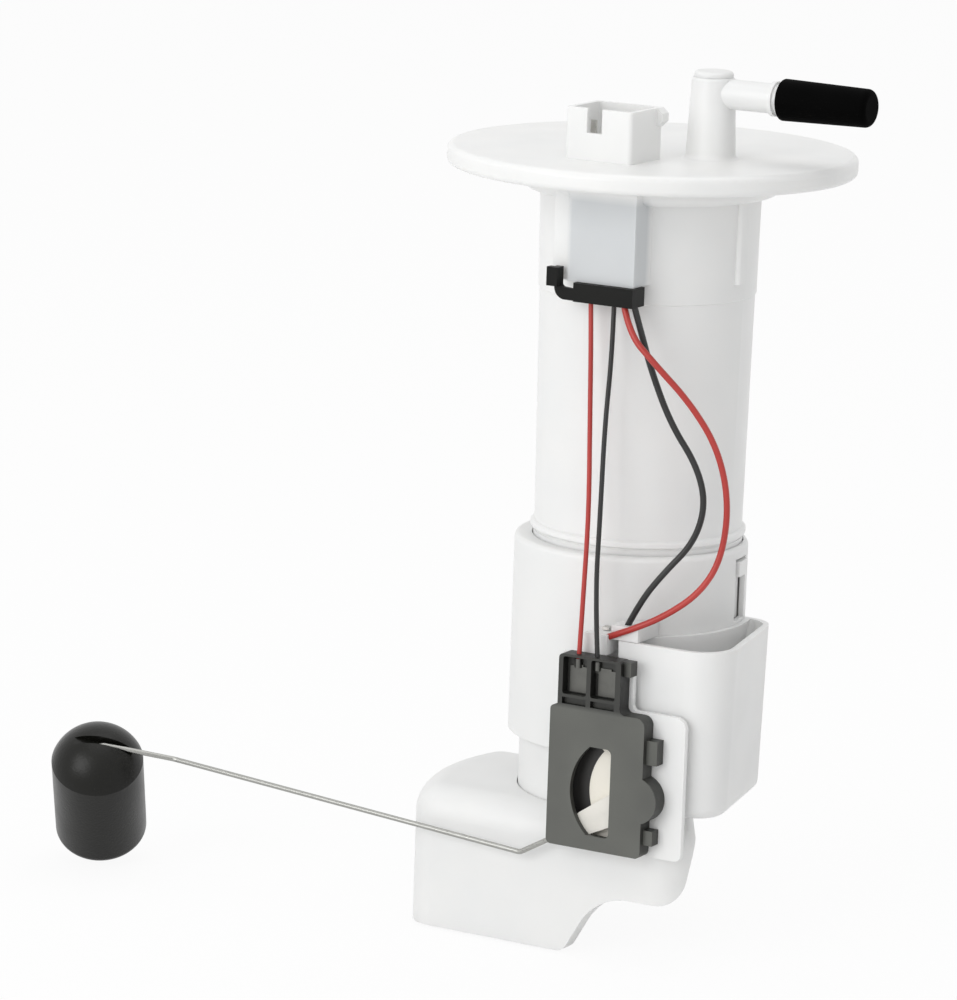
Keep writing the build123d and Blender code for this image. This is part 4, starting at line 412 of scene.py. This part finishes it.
def snap_tongue(name, angle):
    """A curved tongue of the cover behind a window of the lower housing."""
    half = TONGUE_WIDTH / 2 / TONGUE_RADIUS
    points = []
    faces = []
    for height in (TONGUE_BOTTOM, TONGUE_TOP):
        for radius in (TONGUE_RADIUS, TONGUE_RADIUS - TONGUE_THICKNESS):
            for step in range(TONGUE_STEPS + 1):
                turn = radians(angle) - half + 2 * half * step / TONGUE_STEPS
                points.append((radius * cos(turn), radius * sin(turn), height))
    row = TONGUE_STEPS + 1
    outer, inner, top_outer, top_inner = 0, row, 2 * row, 3 * row
    sides = ((outer, top_outer), (top_inner, inner), (inner, outer), (top_outer, top_inner))
    for step in range(TONGUE_STEPS):
        for lower, upper in sides:
            faces.append((lower + step, lower + step + 1, upper + step + 1, upper + step))
    last = TONGUE_STEPS
    faces.append((outer, top_outer, top_inner, inner))
    faces.append((outer + last, inner + last, top_inner + last, top_outer + last))
    mesh = bpy.data.meshes.new(name)
    mesh.from_pydata(points, [], faces)
    mesh.materials.append(natural_smooth)
    tongue = bpy.data.objects.new(name, mesh)
    bpy.context.collection.objects.link(tongue)
    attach(tongue, "module")


for number, tongue_angle in enumerate(TONGUE_ANGLES, 1):
    snap_tongue(f"snap_tongue_{number}", tongue_angle)

# ------------------------------------------------------------------ wires
SENDER_WIRE = 1.3 * MM
PUMP_WIRE = 1.7 * MM
WIRE_STEPS = 16
WIRE_ROUNDNESS = 5
# each wire: slot, diameter, length and the points of its route, the last two in millimetres
WIRES = {
    "sender_red_wire": (
        "red_insulation",
        SENDER_WIRE,
        96.6,
        [
            (1.2, -33.2, -29.6),
            (2.4, -34.26, -42.7),
            (4.0, -36.24, -61.9),
            (5.9, -38.37, -85.8),
            (6.1, -39.96, -107.3),
            (5.9, -40.8, -125.7),
        ],
    ),
    "sender_black_wire": (
        "black_insulation",
        SENDER_WIRE,
        96.5,
        [
            (8.2, -33.2, -29.6),
            (8.8, -34.26, -43.8),
            (8.5, -36.24, -62.9),
            (9.3, -38.37, -86.4),
            (9.6, -39.96, -108.4),
            (11.6, -40.8, -125.7),
        ],
    ),
    "pump_red_wire": (
        "red_insulation",
        PUMP_WIRE,
        118.8,
        [
            (10.9, -33.4, -29.6),
            (14.0, -35.8, -37.8),
            (22.2, -35.6, -45.3),
            (31.0, -32.0, -54.9),
            (37.6, -28.0, -66.6),
            (40.6, -26.0, -81.1),
            (39.3, -26.5, -96.4),
            (34.7, -29.5, -105.6),
            (26.5, -33.4, -112.3),
            (17.4, -36.2, -116.9),
            (9.0, -35.4, -120.4),
        ],
    ),
    "pump_black_wire": (
        "black_insulation",
        PUMP_WIRE,
        98.2,
        [
            (13.6, -33.2, -29.6),
            (15.9, -32.4, -37.6),
            (19.3, -31.6, -48.4),
            (24.9, -30.6, -61.4),
            (32.3, -29.0, -71.9),
            (35.1, -28.5, -81.9),
            (32.6, -29.5, -92.2),
            (25.2, -31.5, -100.9),
            (19.2, -32.9, -109.3),
            (15.2, -32.6, -117.2),
        ],
    ),
}


def make_wire(node, slot, diameter, length, route):
    """A wire as one smooth NURBS curve along its route."""
    data = bpy.data.curves.new(node + "_lead", "CURVE")
    data.dimensions = "3D"
    data.resolution_u = WIRE_STEPS
    data.bevel_depth = diameter / 2
    data.bevel_resolution = WIRE_ROUNDNESS
    data.use_fill_caps = True
    spline = data.splines.new("NURBS")
    spline.points.add(len(route) - 1)
    for point, place in zip(spline.points, route):
        point.co = (*(value * MM for value in place), 1.0)
    spline.order_u = 3
    spline.use_endpoint_u = True
    lead = bpy.data.objects.new(node + "_lead", data)
    data.materials.append(FINISHES[slot])
    bpy.context.collection.objects.link(lead)
    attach(lead, "module")
    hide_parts(node)


for wire_node, facts in WIRES.items():
    make_wire(wire_node, *facts)

# ------------------------------------------------------------------ studio
FLOOR_GAP = 0.0006
FLOOR_REACH = 6.0
PAPER_WHITE = 0.9
# share of plain white in the floor as the camera sees it, the rest being lit paper with the shadow
PAPER_GLOW = 0.92
SEEN_STRENGTH = 1.0
FILL_STRENGTH = 0.67
KEY_PLACE = (-0.40, -1.55, 0.45)
KEY_SIZE = 1.0
KEY_POWER = 10.2
TOP_PLACE = (0.1, -0.1, 1.5)
TOP_SIZE = 1.6
TOP_POWER = 6.0
AIM = (0.0, 0.0, -0.1)

lowest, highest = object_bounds()
floor_z = lowest[2] - FLOOR_GAP
corners = ((-1, -1), (1, -1), (1, 1), (-1, 1))
floor_mesh = bpy.data.meshes.new("floor")
floor_mesh.from_pydata(
    [(x * FLOOR_REACH, y * FLOOR_REACH, floor_z) for x, y in corners],
    [],
    [(0, 1, 2, 3)],
)
floor = bpy.data.objects.new("floor", floor_mesh)
bpy.context.collection.objects.link(floor)


def seen_white(tree):
    """1 for rays from the camera and for reflections, 0 for rays that light the part."""
    ray = tree.nodes.new("ShaderNodeLightPath")
    return larger(tree, ray.outputs["Is Camera Ray"], ray.outputs["Is Glossy Ray"])


floor_material, floor_tree, floor_shader = new_material("floor_paper")
floor_shader.inputs["Base Color"].default_value = (PAPER_WHITE, PAPER_WHITE, PAPER_WHITE, 1.0)
floor_shader.inputs["Roughness"].default_value = 0.9
floor_shader.inputs["Specular IOR Level"].default_value = 0.0
white = floor_tree.nodes.new("ShaderNodeEmission")
white.inputs["Strength"].default_value = 1.0
paper = floor_tree.nodes.new("ShaderNodeMixShader")
paper.inputs["Fac"].default_value = PAPER_GLOW
shown = floor_tree.nodes.new("ShaderNodeMixShader")
floor_tree.links.new(floor_shader.outputs["BSDF"], paper.inputs[1])
floor_tree.links.new(white.outputs["Emission"], paper.inputs[2])
floor_tree.links.new(seen_white(floor_tree), shown.inputs["Fac"])
floor_tree.links.new(floor_shader.outputs["BSDF"], shown.inputs[1])
floor_tree.links.new(paper.outputs["Shader"], shown.inputs[2])
floor_tree.links.new(shown.outputs["Shader"], floor_tree.nodes["Material Output"].inputs["Surface"])
floor_mesh.materials.append(floor_material)


def white_sky(tree, strength):
    """A plain white background of a given strength."""
    sky = tree.nodes.new("ShaderNodeBackground")
    sky.inputs["Color"].default_value = (1.0, 1.0, 1.0, 1.0)
    sky.inputs["Strength"].default_value = strength
    return sky.outputs["Background"]


world = bpy.data.worlds.new("studio")
bpy.context.scene.world = world
world.use_nodes = True
world_tree = world.node_tree
world_tree.nodes.clear()
chooser = world_tree.nodes.new("ShaderNodeMixShader")
out = world_tree.nodes.new("ShaderNodeOutputWorld")
world_tree.links.new(seen_white(world_tree), chooser.inputs["Fac"])
world_tree.links.new(white_sky(world_tree, FILL_STRENGTH), chooser.inputs[1])
world_tree.links.new(white_sky(world_tree, SEEN_STRENGTH), chooser.inputs[2])
world_tree.links.new(chooser.outputs["Shader"], out.inputs["Surface"])


def softbox(name, place, aim, size, power):
    """A square area light aimed at a point."""
    data = bpy.data.lights.new(name, "AREA")
    data.size = size
    data.energy = power
    light = bpy.data.objects.new(name, data)
    light.location = place
    light.rotation_euler = (Vector(aim) - Vector(place)).to_track_quat("-Z", "Y").to_euler()
    bpy.context.collection.objects.link(light)


softbox("key_front", KEY_PLACE, AIM, KEY_SIZE, KEY_POWER)
softbox("top", TOP_PLACE, AIM, TOP_SIZE, TOP_POWER)

bpy.context.scene.view_settings.view_transform = "Standard"
make_camera()
